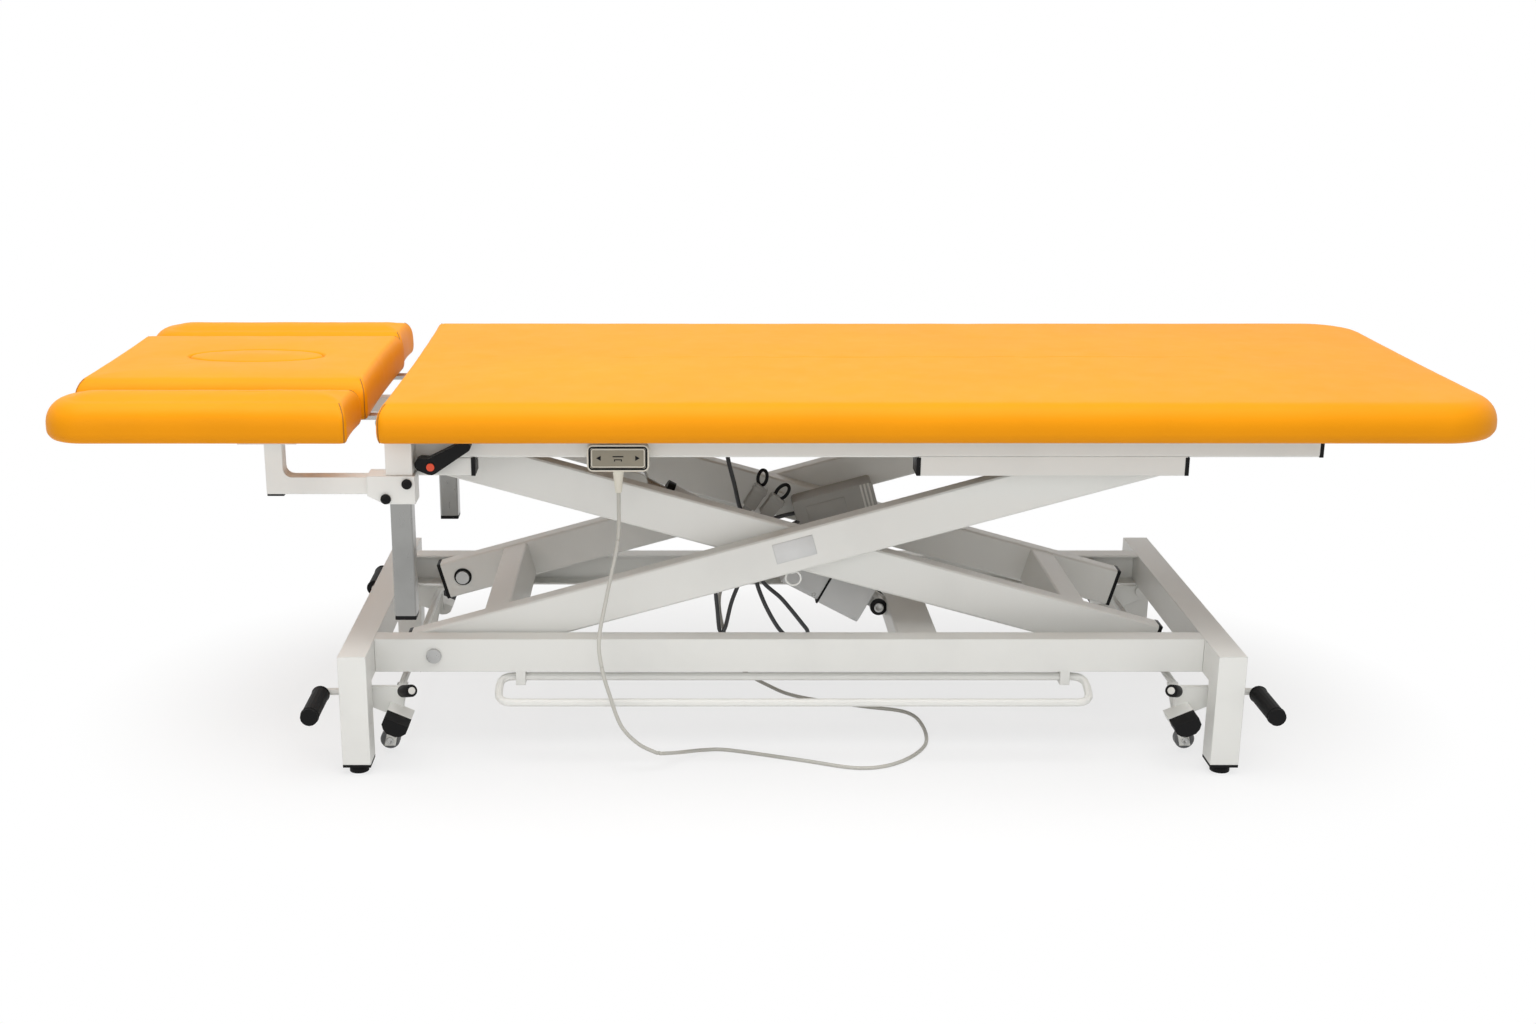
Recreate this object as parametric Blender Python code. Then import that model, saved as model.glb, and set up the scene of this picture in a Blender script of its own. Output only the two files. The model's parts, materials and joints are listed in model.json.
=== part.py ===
"""Height-adjustable treatment table: scissor lift, padded top, head section and armrests.

Units are metres, +Z is up and the floor is Z = 0. The head end is at -X and the side
with the hand control is at -Y. The origin is on the floor, under the middle of the table.
"""
import math

import bmesh
import bpy
from mathutils import Matrix, Vector

# Fits
GAP = 0.0003                    # between pieces that touch
RUN = 0.0005                    # round a pin or roller that turns

# Overall
TABLE_LENGTH = 1.994
PAD_WIDTH = 0.66

# Scissor lift, at the height shown
ARM_PITCH = 1.07                # pivot to roller
ARM_ANGLE = math.radians(15.6)
ARM_HEIGHT = 0.060
ARM_WIDTH = 0.030
ARM_WALL = 0.0025
ARM_OVERHANG = 0.033            # past the pivot and past the roller
PIVOT_AT = 0.052                # values ending in AT run along X from the main pad's hinge end
PIVOT_Z = 0.155
PIN_R = 0.008
ARM_CLEAR = 0.004               # between the arms, and between arm and rail

# Base
BASE_WIDTH = 0.58
TUBE = 0.040                    # legs and end frames, square tube
TUBE_WALL = 0.002
HEAD_LEG_AT = -0.054            # middle of the legs at the head end
FOOT_LEG_AT = 1.188
RAIL_HEIGHT = 0.050
RAIL_WIDTH = 0.030
RAIL_WALL = 0.003
FOOT_HEIGHT = 0.016             # floor to leg
FOOT_R = 0.014
BASE_CROSS_AT = 0.759           # cross tube that carries the actuator
BASE_CROSS_WIDTH = 0.060
BASE_CROSS_HEIGHT = 0.040

# Rail positions across the table, measured to the outer faces
BASE_RAIL_Y = 0.216
TOP_RAIL_Y = 0.235

# Top frame
TOP_RAIL_HEIGHT = 0.040
TOP_RAIL_WIDTH = 0.030
TOP_WALL = 0.0025
TOP_RAIL_HEAD_AT = 0.007
TOP_RAIL_FOOT_AT = 1.303
TRACK_HEIGHT = 0.026
TRACK_WIDTH = 0.040
TRACK_HEAD_AT = 0.742
TRACK_FOOT_AT = 1.117
PIVOT_TUBE_FOOT_AT = 0.120      # right end of the short tube over the fixed pivot
CROSS_SIZE = 0.030
TOP_CROSS_AT = (0.107, 0.657, 1.237)
VENT_R = 0.004
WELD_STEP = 0.0005            # keeps welded faces off one plane

# Pads
BOARD_THICK = 0.015
BOARD_INSET = 0.030
HEAD_PAD_LENGTH = 0.416
MAIN_PAD_THICK = 0.053
MAIN_CORNER_R = 0.095           # foot end corners in plan
MAIN_HINGE_R = 0.022            # corners beside the head section
HEAD_GAP = 0.032                # between main pad and head pad
HEAD_PAD_WIDTH = 0.378
HEAD_PAD_THICK = 0.058
HEAD_CORNER_R = 0.020
HEAD_SHORT = 0.012              # head pad ends this far inside the armrests
ARMREST_GAP = 0.006             # between head pad and armrest pad
ARMREST_ROUND = 0.489           # radius of an armrest's head end, as a share of its width
ARMREST_SHORT = 0.004           # head pad's hinge end to armrest pad's
NOSE_SLOT_LENGTH = 0.200
NOSE_SLOT_WIDTH = 0.090
NOSE_SLOT_SHIFT = 0.013         # toward the hinge, from the middle of the head pad
SEAM_GAP = 0.0003

# Armrest posts and carriages
POST_SIZE = 0.030
POST_WALL = 0.002
POST_AT = 0.022
POST_LENGTH = 0.262
SLEEVE_WALL = 0.003
SLEEVE_HEIGHT = 0.056
CARRIAGE_LENGTH = 0.066
CARRIAGE_HEIGHT = 0.040
CARRIAGE_WALL = 0.006
CRANK_SIZE = 0.024              # square tube of the cranked arm
CRANK_AT = -0.151               # middle of the upright

# Head hinge
HINGE_DROP = 0.006              # hinge axis under the boards
HINGE_Y = 0.150
HINGE_PIN_R = 0.005
HINGE_PLATE = 0.006

# Actuator
CLEVIS_AT = 0.717
CLEVIS_Z = 0.162
ROD_PIN_REACH = 0.305           # upper pivot to rod pin, along the inner arm
ROD_R = 0.010
OUTER_TUBE_R = 0.019
MOTOR_WIDTH = 0.074
MOTOR_DEPTH = 0.062
MOTOR_LENGTH = 0.135
EAR_THICK = 0.006

# Castor levers at each end of the base
LEVER_PIVOT_Z = 0.105
LEVER_BAR = 0.008
LEVER_BAR_HEIGHT = 0.017
LEVER_REACH_IN = 0.056          # leg to cross bar
LEVER_REACH_OUT = 0.056         # leg to outer grip
LEVER_ROD_R = 0.0055
GRIP_R = 0.0125
SMALL_GRIP_R = 0.008
CASTOR_R = 0.0145
CASTOR_WIDTH = 0.016
CASTOR_LIFT = 0.007             # wheel clear of the floor at rest
CASTOR_TRAIL = 0.020

# Foot switch bar
BAR_R = 0.0058
BAR_HEAD_AT = 0.147
BAR_FOOT_AT = 0.999
BAR_DEPTH = 0.052
BAR_DROP = 0.020

# Hand control
HANDSET_AT = 0.323
HANDSET_LENGTH = 0.086
HANDSET_HEIGHT = 0.038
HANDSET_DEPTH = 0.020
CORD_R = 0.0028

# Fasteners, plugs and pins
PIN_HEAD = 0.004
NUT = 0.007
PIVOT_HEAD_R = 0.011
CLEVIS_PIN_R = 0.006
AXLE_R = 0.006
PLUG_DEPTH = 0.012
FLANGE = 0.004
FOOT_PAD = 0.006

# Cross tubes of the lift
ARM_CROSS = 0.040
ARM_CROSS_HEIGHT = 0.056
ARM_CROSS_REACH = 0.098         # pivot or roller to the cross tube
ROD_CROSS_BACK = 0.052          # rod pin to the tube behind it
UPPER_ROLLER_WIDTH = 0.032
LOWER_ROLLER_WIDTH = 0.022
EYE_WIDTH = 0.022
EAR_R = 0.014
EAR_SPAN = 0.040
MOTOR_START = 0.020
MOTOR_ROUND = 0.008
TUBE_START = 0.100
ROD_SHOWN = 0.042
ROD_BACK = 0.026               # travel left for the rod below the height shown
COLLAR = 0.012
CORD_BOSS_AT = 0.120            # clevis pin to the cord boss, along the actuator
CORD_BOSS_R = 0.0055
CORD_BOSS_OUT = 0.036

# Pad forms
PAD_TUCK = 0.012
PAD_ROUND = 0.034
PAD_CROWN = 0.003
PAD_PULL = 0.004
PAD_LEAST_R = 0.009
PLUG_ROUND = 0.006
HINGE_WIDTH = 0.022
HINGE_LEAF = 0.075
HINGE_BAR = 0.022
KNUCKLE_R = 0.009
SEAT_PLATE = 0.005
SEAT_LENGTH = 0.080
CRANK_FILLET = 0.012

# Clamping lever
LEVER_AT = 0.064
LEVER_Z = 0.449
LEVER_STAND = 0.006
LEVER_THICK = 0.020
LEVER_HUB_R = 0.0115
LEVER_TAIL = (-0.0125, 0.0030)
LEVER_TAIL_R = 0.0095
LEVER_TIP = (0.0487, 0.0285)
LEVER_TIP_R = 0.0075
BUTTON_R = 0.0056
BUTTON_DEPTH = 0.008
BUTTON_TRAVEL = 0.0015

# Castor lever details
LEVER_Y = 0.2305
LEVER_PIN_R = 0.005
CASTOR_Y = 0.204
CHEEK = 0.003
CHEEK_R = 0.008
PEDAL_Z = 0.0735
PEDAL_TILT = math.radians(24)
PEDAL_LENGTH = 0.037
PEDAL_THICK = 0.021
PEDAL_WIDTH = 0.034
PEDAL_PROUD = 0.006
GRIP_START = 0.009
SMALL_GRIP_IN = 0.024
SMALL_GRIP_Y = 0.278
SMALL_GRIP_RISE = 0.020
BAR_HANGER_IN = 0.030
HANGER = 0.014

# Hand control details
HANDSET_ROUND = 0.008
HANDSET_RIM = 0.004
ROCKER_DEPTH = 0.007
ROCKER_GAP = 0.001
ROCKER_PROUD = 0.001
ROCKER_SWING = 0.002
RELIEF_LENGTH = 0.032
RELIEF_R = 0.0085
RELIEF_WALL = 0.0018
CORD_HANGING = ((-0.2155, -0.253, 0.340), (-0.2324, -0.266, 0.257), (-0.2423, -0.281, 0.203), (-0.2385, -0.291, 0.165),
                (-0.2285, -0.295, 0.128), (-0.2123, -0.2925, 0.0783), (-0.1885, -0.285, 0.0471), (-0.1641, -0.2771, 0.0302),
                (-0.1595, -0.2740, 0.0278))
CORD_FLOOR = ((-0.1587, -0.2735, 0.0274), (-0.1549, -0.2709, 0.0254), (-0.1290, -0.2450, 0.0158), (-0.0929, -0.2150, 0.0065),
              (-0.0543, -0.2080, 0.0031),
              (0.0468, -0.2432, 0.0031),
              (0.1313, -0.2720, 0.0031), (0.1919, -0.2504, 0.0031), (0.2362, -0.1886, 0.0031), (0.2415, -0.1122, 0.0031),
              (0.2217, -0.0604, 0.0031), (0.1541, -0.0358, 0.0031), (0.0624, 0.0018, 0.0031), (0.0165, 0.0404, 0.006),
              (-0.0300, 0.0600, 0.030), (-0.0550, 0.0700, 0.080), (-0.0640, 0.0800, 0.150), (-0.0300, 0.0750, 0.205),
              (0.0200, 0.0700, 0.2220), (0.0600, 0.0660, 0.2190), (0.0742, 0.0540, 0.2186), (0.0742, 0.0450, 0.2186),
              (0.0742, 0.0366, 0.2186))

# Control box
CONTROL_AT = 0.655
CONTROL_Z = 0.296
CONTROL_ROUND = 0.005
CONTROL_LENGTH = 0.130
CONTROL_HEIGHT = 0.052
CONTROL_DEPTH = 0.046

# Values worked out from the sizes above
FOOT_END_X = TABLE_LENGTH / 2
HEAD_END_X = -TABLE_LENGTH / 2
HEAD_PAD_X = HEAD_END_X + HEAD_SHORT + HEAD_PAD_LENGTH
MAIN_PAD_X = HEAD_PAD_X + HEAD_GAP
HINGE_X = MAIN_PAD_X - HEAD_GAP / 2
NOSE_SLOT_X = HEAD_PAD_X - HEAD_PAD_LENGTH / 2 + NOSE_SLOT_SHIFT
PIVOT_X = MAIN_PAD_X + PIVOT_AT
HEAD_LEG_X = MAIN_PAD_X + HEAD_LEG_AT
FOOT_LEG_X = MAIN_PAD_X + FOOT_LEG_AT
BASE_CROSS_X = MAIN_PAD_X + BASE_CROSS_AT
TOP_RAIL_HEAD_X = MAIN_PAD_X + TOP_RAIL_HEAD_AT
TOP_RAIL_FOOT_X = MAIN_PAD_X + TOP_RAIL_FOOT_AT
TRACK_HEAD_X = MAIN_PAD_X + TRACK_HEAD_AT
TRACK_FOOT_X = MAIN_PAD_X + TRACK_FOOT_AT
PIVOT_TUBE_FOOT_X = MAIN_PAD_X + PIVOT_TUBE_FOOT_AT
TOP_CROSS_X = tuple(MAIN_PAD_X + at for at in TOP_CROSS_AT)
POST_X = MAIN_PAD_X + POST_AT
CRANK_X = MAIN_PAD_X + CRANK_AT
CLEVIS_X = MAIN_PAD_X + CLEVIS_AT
BAR_HEAD_X = MAIN_PAD_X + BAR_HEAD_AT
BAR_FOOT_X = MAIN_PAD_X + BAR_FOOT_AT
HANDSET_X = MAIN_PAD_X + HANDSET_AT
LEVER_X = MAIN_PAD_X + LEVER_AT
CONTROL_X = MAIN_PAD_X + CONTROL_AT
SIDES = (("front", -1), ("rear", 1))
ENDS = (("head", HEAD_LEG_X, 1), ("foot", FOOT_LEG_X, -1))
BASE_TOP = PIVOT_Z + RAIL_HEIGHT / 2
BASE_RAIL_IN = BASE_RAIL_Y - RAIL_WIDTH
OUTER_ARM_Y = BASE_RAIL_IN - ARM_CLEAR
OUTER_ARM_IN = OUTER_ARM_Y - ARM_WIDTH
INNER_ARM_Y = OUTER_ARM_IN - ARM_CLEAR
INNER_ARM_IN = INNER_ARM_Y - ARM_WIDTH
LIFT = ARM_PITCH * math.sin(ARM_ANGLE)
SPAN = ARM_PITCH * math.cos(ARM_ANGLE)
TOP_PIVOT_Z = PIVOT_Z + LIFT
TRACK_TOP = TOP_PIVOT_Z + TRACK_HEIGHT / 2
TRACK_IN = TOP_RAIL_Y - TRACK_WIDTH
TOP_RAIL_IN = TOP_RAIL_Y - TOP_RAIL_WIDTH
TOP_RAIL_BOTTOM = TRACK_TOP + GAP
TOP_RAIL_TOP = TOP_RAIL_BOTTOM + TOP_RAIL_HEIGHT
PAD_BOTTOM = TOP_RAIL_TOP + GAP
HINGE_Z = PAD_BOTTOM - HINGE_DROP
POST_Y = TOP_RAIL_Y + GAP + SLEEVE_WALL + GAP + POST_SIZE / 2
SLEEVE_OUT = POST_SIZE / 2 + GAP + SLEEVE_WALL
SLEEVE_BOTTOM = TOP_RAIL_TOP - SLEEVE_HEIGHT
UPPER_ROLLER_R = TRACK_HEIGHT / 2 - TOP_WALL - GAP
LOWER_ROLLER_R = RAIL_HEIGHT / 2 - RAIL_WALL - GAP

ROD_PIN_X = PIVOT_X + ROD_PIN_REACH * math.cos(ARM_ANGLE)
ROD_PIN_Z = TOP_PIVOT_Z - ROD_PIN_REACH * math.sin(ARM_ANGLE)
ACTUATOR_ANGLE = math.atan2(ROD_PIN_Z - CLEVIS_Z, ROD_PIN_X - CLEVIS_X)
ACTUATOR_LENGTH = math.hypot(ROD_PIN_Z - CLEVIS_Z, ROD_PIN_X - CLEVIS_X)
HANDSET_FACE_Y = TOP_RAIL_Y + GAP + HANDSET_DEPTH
HANDSET_Z = TOP_RAIL_BOTTOM + 0.004
BAR_Y = BASE_RAIL_Y - 0.0101
BAR_Z = BASE_TOP - RAIL_HEIGHT - 0.011
WHEEL_Z = CASTOR_LIFT + CASTOR_R

bodies = {}


def material(name, colour, roughness, metallic=0.0):
    """One plain finish."""
    finish = bpy.data.materials.new(name)
    finish.use_nodes = True
    shader = finish.node_tree.nodes["Principled BSDF"]
    shader.inputs["Base Color"].default_value = (*colour, 1.0)
    shader.inputs["Roughness"].default_value = roughness
    shader.inputs["Metallic"].default_value = metallic
    finish.diffuse_color = (*colour, 1.0)
    return finish


def make_materials():
    """The finishes seen on the table."""
    return {
        "paint": material("off_white_paint", (0.78, 0.77, 0.74), 0.40),
        "vinyl": material("orange_vinyl", (0.93, 0.52, 0.06), 0.42),
        "wood": material("board_plywood", (0.45, 0.30, 0.18), 0.70),
        "rubber": material("black_rubber", (0.02, 0.02, 0.02), 0.65),
        "black": material("black_plastic", (0.025, 0.025, 0.025), 0.45),
        "chrome": material("chrome_plate", (0.62, 0.62, 0.60), 0.18, 1.0),
        "steel": material("zinc_steel", (0.50, 0.50, 0.50), 0.35, 1.0),
        "alloy": material("actuator_alloy", (0.62, 0.64, 0.66), 0.40, 0.7),
        "grey": material("grey_plastic", (0.56, 0.57, 0.58), 0.50),
        "nylon": material("white_nylon", (0.82, 0.82, 0.80), 0.45),
        "ivory": material("ivory_plastic", (0.66, 0.63, 0.53), 0.45),
        "key": material("key_plate", (0.44, 0.42, 0.36), 0.50),
        "red": material("red_button", (0.85, 0.10, 0.02), 0.40),
        "cord": material("grey_cord", (0.52, 0.51, 0.47), 0.50),
    }


def body(name, place=(0.0, 0.0, 0.0), turn=0.0):
    """An empty on the joint's axis; turn is about Y and raises +X."""
    empty = bpy.data.objects.new("body_" + name, None)
    empty.location = place
    empty.rotation_euler = (0.0, -turn, 0.0)
    bpy.context.scene.collection.objects.link(empty)
    bodies[name] = empty
    return empty


def keep(name, mesh, carrier, finish, smooth=30.0, local=False):
    """Make a named piece. World shapes are moved into their body's own frame."""
    empty = bodies[carrier]
    if not local:
        mesh.transform((Matrix.Translation(empty.location) @ empty.rotation_euler.to_matrix().to_4x4()).inverted())
    piece = bpy.data.objects.new(name, mesh)
    mesh.name = name
    mesh.materials.clear()
    mesh.materials.append(finish)
    mesh.shade_smooth()
    mesh.set_sharp_from_angle(angle=math.radians(smooth))
    bpy.context.scene.collection.objects.link(piece)
    piece.parent = empty
    return piece


def finish_mesh(shape):
    """Turn a bmesh into a mesh with its faces pointing out."""
    bmesh.ops.recalc_face_normals(shape, faces=shape.faces)
    mesh = bpy.data.meshes.new("shape")
    shape.to_mesh(mesh)
    shape.free()
    return mesh


def box(low, high, round_edges=0.0, along=None, segments=2):
    """A block between two corners. Edges along one axis, or all of them, can be rounded."""
    shape = bmesh.new()
    bmesh.ops.create_cube(shape, size=1.0)
    low, high = Vector(low), Vector(high)
    for vert in shape.verts:
        vert.co = Vector((vert.co[i] + 0.5) * (high[i] - low[i]) + low[i] for i in range(3))
    if round_edges:
        edges = [e for e in shape.edges
                 if along is None or abs((e.verts[0].co - e.verts[1].co).normalized()["XYZ".index(along)]) > 0.9]
        bmesh.ops.bevel(shape, geom=edges, offset=round_edges, segments=segments, profile=0.5, affect="EDGES")
    return finish_mesh(shape)


def rod(start, end, radius, end_radius=None, sides=16):
    """A round bar or cone between two points."""
    start, end = Vector(start), Vector(end)
    shape = bmesh.new()
    bmesh.ops.create_cone(shape, cap_ends=True, segments=sides, radius1=radius,
                          radius2=radius if end_radius is None else end_radius, depth=(end - start).length)
    turn = (end - start).to_track_quat("Z", "Y").to_matrix().to_4x4()
    bmesh.ops.transform(shape, matrix=Matrix.Translation((start + end) / 2) @ turn, verts=shape.verts)
    return finish_mesh(shape)


def turned(profile, start, axis, sides=20):
    """Turn a profile of (distance along axis, radius) points into a closed solid."""
    shape = bmesh.new()
    rings = []
    for along, radius in profile:
        rings.append([shape.verts.new((radius * math.cos(math.tau * k / sides),
                                       radius * math.sin(math.tau * k / sides), along)) for k in range(sides)])
    for lower, upper in zip(rings, rings[1:]):
        for k in range(sides):
            shape.faces.new((lower[k], lower[k - 1], upper[k - 1], upper[k]))
    shape.faces.new(rings[0])
    shape.faces.new(rings[-1])
    turn = Vector(axis).to_track_quat("Z", "Y").to_matrix().to_4x4()
    bmesh.ops.transform(shape, matrix=Matrix.Translation(start) @ turn, verts=shape.verts)
    return finish_mesh(shape)


def plate(outline, low, high, plane="XZ"):
    """Extrude a flat outline along the axis that its plane leaves out."""
    shape = bmesh.new()
    order = {"XZ": (0, 2, 1), "XY": (0, 1, 2), "YZ": (2, 0, 1)}[plane]

    def place(a, b, c):
        return tuple((a, b, c)[k] for k in order)

    lower = [shape.verts.new(place(a, b, low)) for a, b in outline]
    upper = [shape.verts.new(place(a, b, high)) for a, b in outline]
    shape.faces.new(lower)
    shape.faces.new(upper)
    for k in range(len(outline)):
        shape.faces.new((lower[k - 1], lower[k], upper[k], upper[k - 1]))
    return finish_mesh(shape)


def bent_bar(points, radius, bend=0.015, sides=2, closed=False, steps=4):
    """A round bar through corner points, each corner rounded to the bend radius."""
    points = [Vector(p) for p in points]
    path = []
    for k, corner in enumerate(points):
        if not closed and k in (0, len(points) - 1):
            path.append(corner)
            continue
        before, after = points[k - 1], points[(k + 1) % len(points)]
        reach = min(bend, (before - corner).length / 2, (after - corner).length / 2)
        first = corner + (before - corner).normalized() * reach
        last = corner + (after - corner).normalized() * reach
        for step in range(steps + 1):
            t = step / steps
            path.append((1 - t) ** 2 * first + 2 * t * (1 - t) * corner + t * t * last)
    return tube_along(path, radius, sides, closed)


def tube_along(path, radius, resolution, closed=False):
    """A filled round tube along points, as a mesh."""
    curve = bpy.data.curves.new("route", "CURVE")
    curve.dimensions = "3D"
    curve.bevel_depth = radius
    curve.bevel_resolution = resolution
    curve.use_fill_caps = True
    spline = curve.splines.new("POLY")
    spline.points.add(len(path) - 1)
    for point, place in zip(spline.points, path):
        point.co = (*place, 1.0)
    spline.use_cyclic_u = closed
    holder = bpy.data.objects.new("route", curve)
    bpy.context.scene.collection.objects.link(holder)
    mesh = bpy.data.meshes.new_from_object(holder.evaluated_get(bpy.context.evaluated_depsgraph_get()))
    bpy.data.objects.remove(holder)
    shape = bmesh.new()
    shape.from_mesh(mesh)
    bmesh.ops.remove_doubles(shape, verts=shape.verts, dist=1e-6)
    return finish_mesh(shape)


def combine(base, add=(), cut=()):
    """Boolean union and difference of meshes."""
    holder = bpy.data.objects.new("work", base)
    bpy.context.scene.collection.objects.link(holder)
    tools = []
    for operation, meshes in (("UNION", add), ("DIFFERENCE", cut)):
        for mesh in meshes:
            tool = bpy.data.objects.new("tool", mesh)
            bpy.context.scene.collection.objects.link(tool)
            tools.append(tool)
            step = holder.modifiers.new("step", "BOOLEAN")
            step.operation = operation
            step.object = tool
    mesh = bpy.data.meshes.new_from_object(holder.evaluated_get(bpy.context.evaluated_depsgraph_get()))
    for item in tools + [holder]:
        bpy.data.objects.remove(item)
    return mesh


def hollow(low, high, wall, axis, closed_low=False, closed_high=False, extra_cut=()):
    """A rectangular tube along one axis, open at its ends unless told otherwise."""
    index = "XYZ".index(axis)
    inner_low = [v + wall for v in low]
    inner_high = [v - wall for v in high]
    inner_low[index] = low[index] + (wall if closed_low else -wall)
    inner_high[index] = high[index] - (wall if closed_high else -wall)
    outer = box(low, high, wall, along=axis, segments=1)
    return combine(outer, cut=[box(inner_low, inner_high), *extra_cut])


def bolt(start, axis, steps, sides=14):
    """A turned pin: each step is a length and a radius, in order along the axis."""
    profile = []
    along = 0.0
    for length, radius in steps:
        profile += [(along, radius), (along + length, radius)]
        along += length
    return turned(profile, start, axis, sides)


def make_bodies():
    """One empty for each rigid body, at its joint."""
    body("base")
    body("outer_frame", (PIVOT_X, 0, PIVOT_Z), ARM_ANGLE)
    body("inner_frame", (PIVOT_X + SPAN / 2, 0, PIVOT_Z + LIFT / 2), -ARM_ANGLE)
    body("top", (PIVOT_X, 0, TOP_PIVOT_Z))
    body("upper_rollers", (PIVOT_X + SPAN, 0, TOP_PIVOT_Z))
    body("lower_rollers", (PIVOT_X + SPAN, 0, PIVOT_Z))
    for name, _ in SIDES:
        body("armrest_" + name, (POST_X, 0, SLEEVE_BOTTOM))
    body("actuator", (CLEVIS_X, 0, CLEVIS_Z), ACTUATOR_ANGLE)
    body("actuator_rod", (CLEVIS_X, 0, CLEVIS_Z), ACTUATOR_ANGLE)
    body("head_section", (HINGE_X, 0, HINGE_Z))
    body("clamp_lever", (LEVER_X, 0, LEVER_Z))
    body("lever_button", (LEVER_X, 0, LEVER_Z))
    body("handset_rocker", (HANDSET_X, -HANDSET_FACE_Y, HANDSET_Z))
    body("foot_switch", (0, -BAR_Y, BAR_Z))
    for end, leg_x, inward in ENDS:
        body("castor_lever_" + end, (leg_x, 0, LEVER_PIVOT_Z))
        body("castor_wheels_" + end, (leg_x + inward * (LEVER_REACH_IN - CASTOR_TRAIL), 0, WHEEL_Z))


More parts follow.
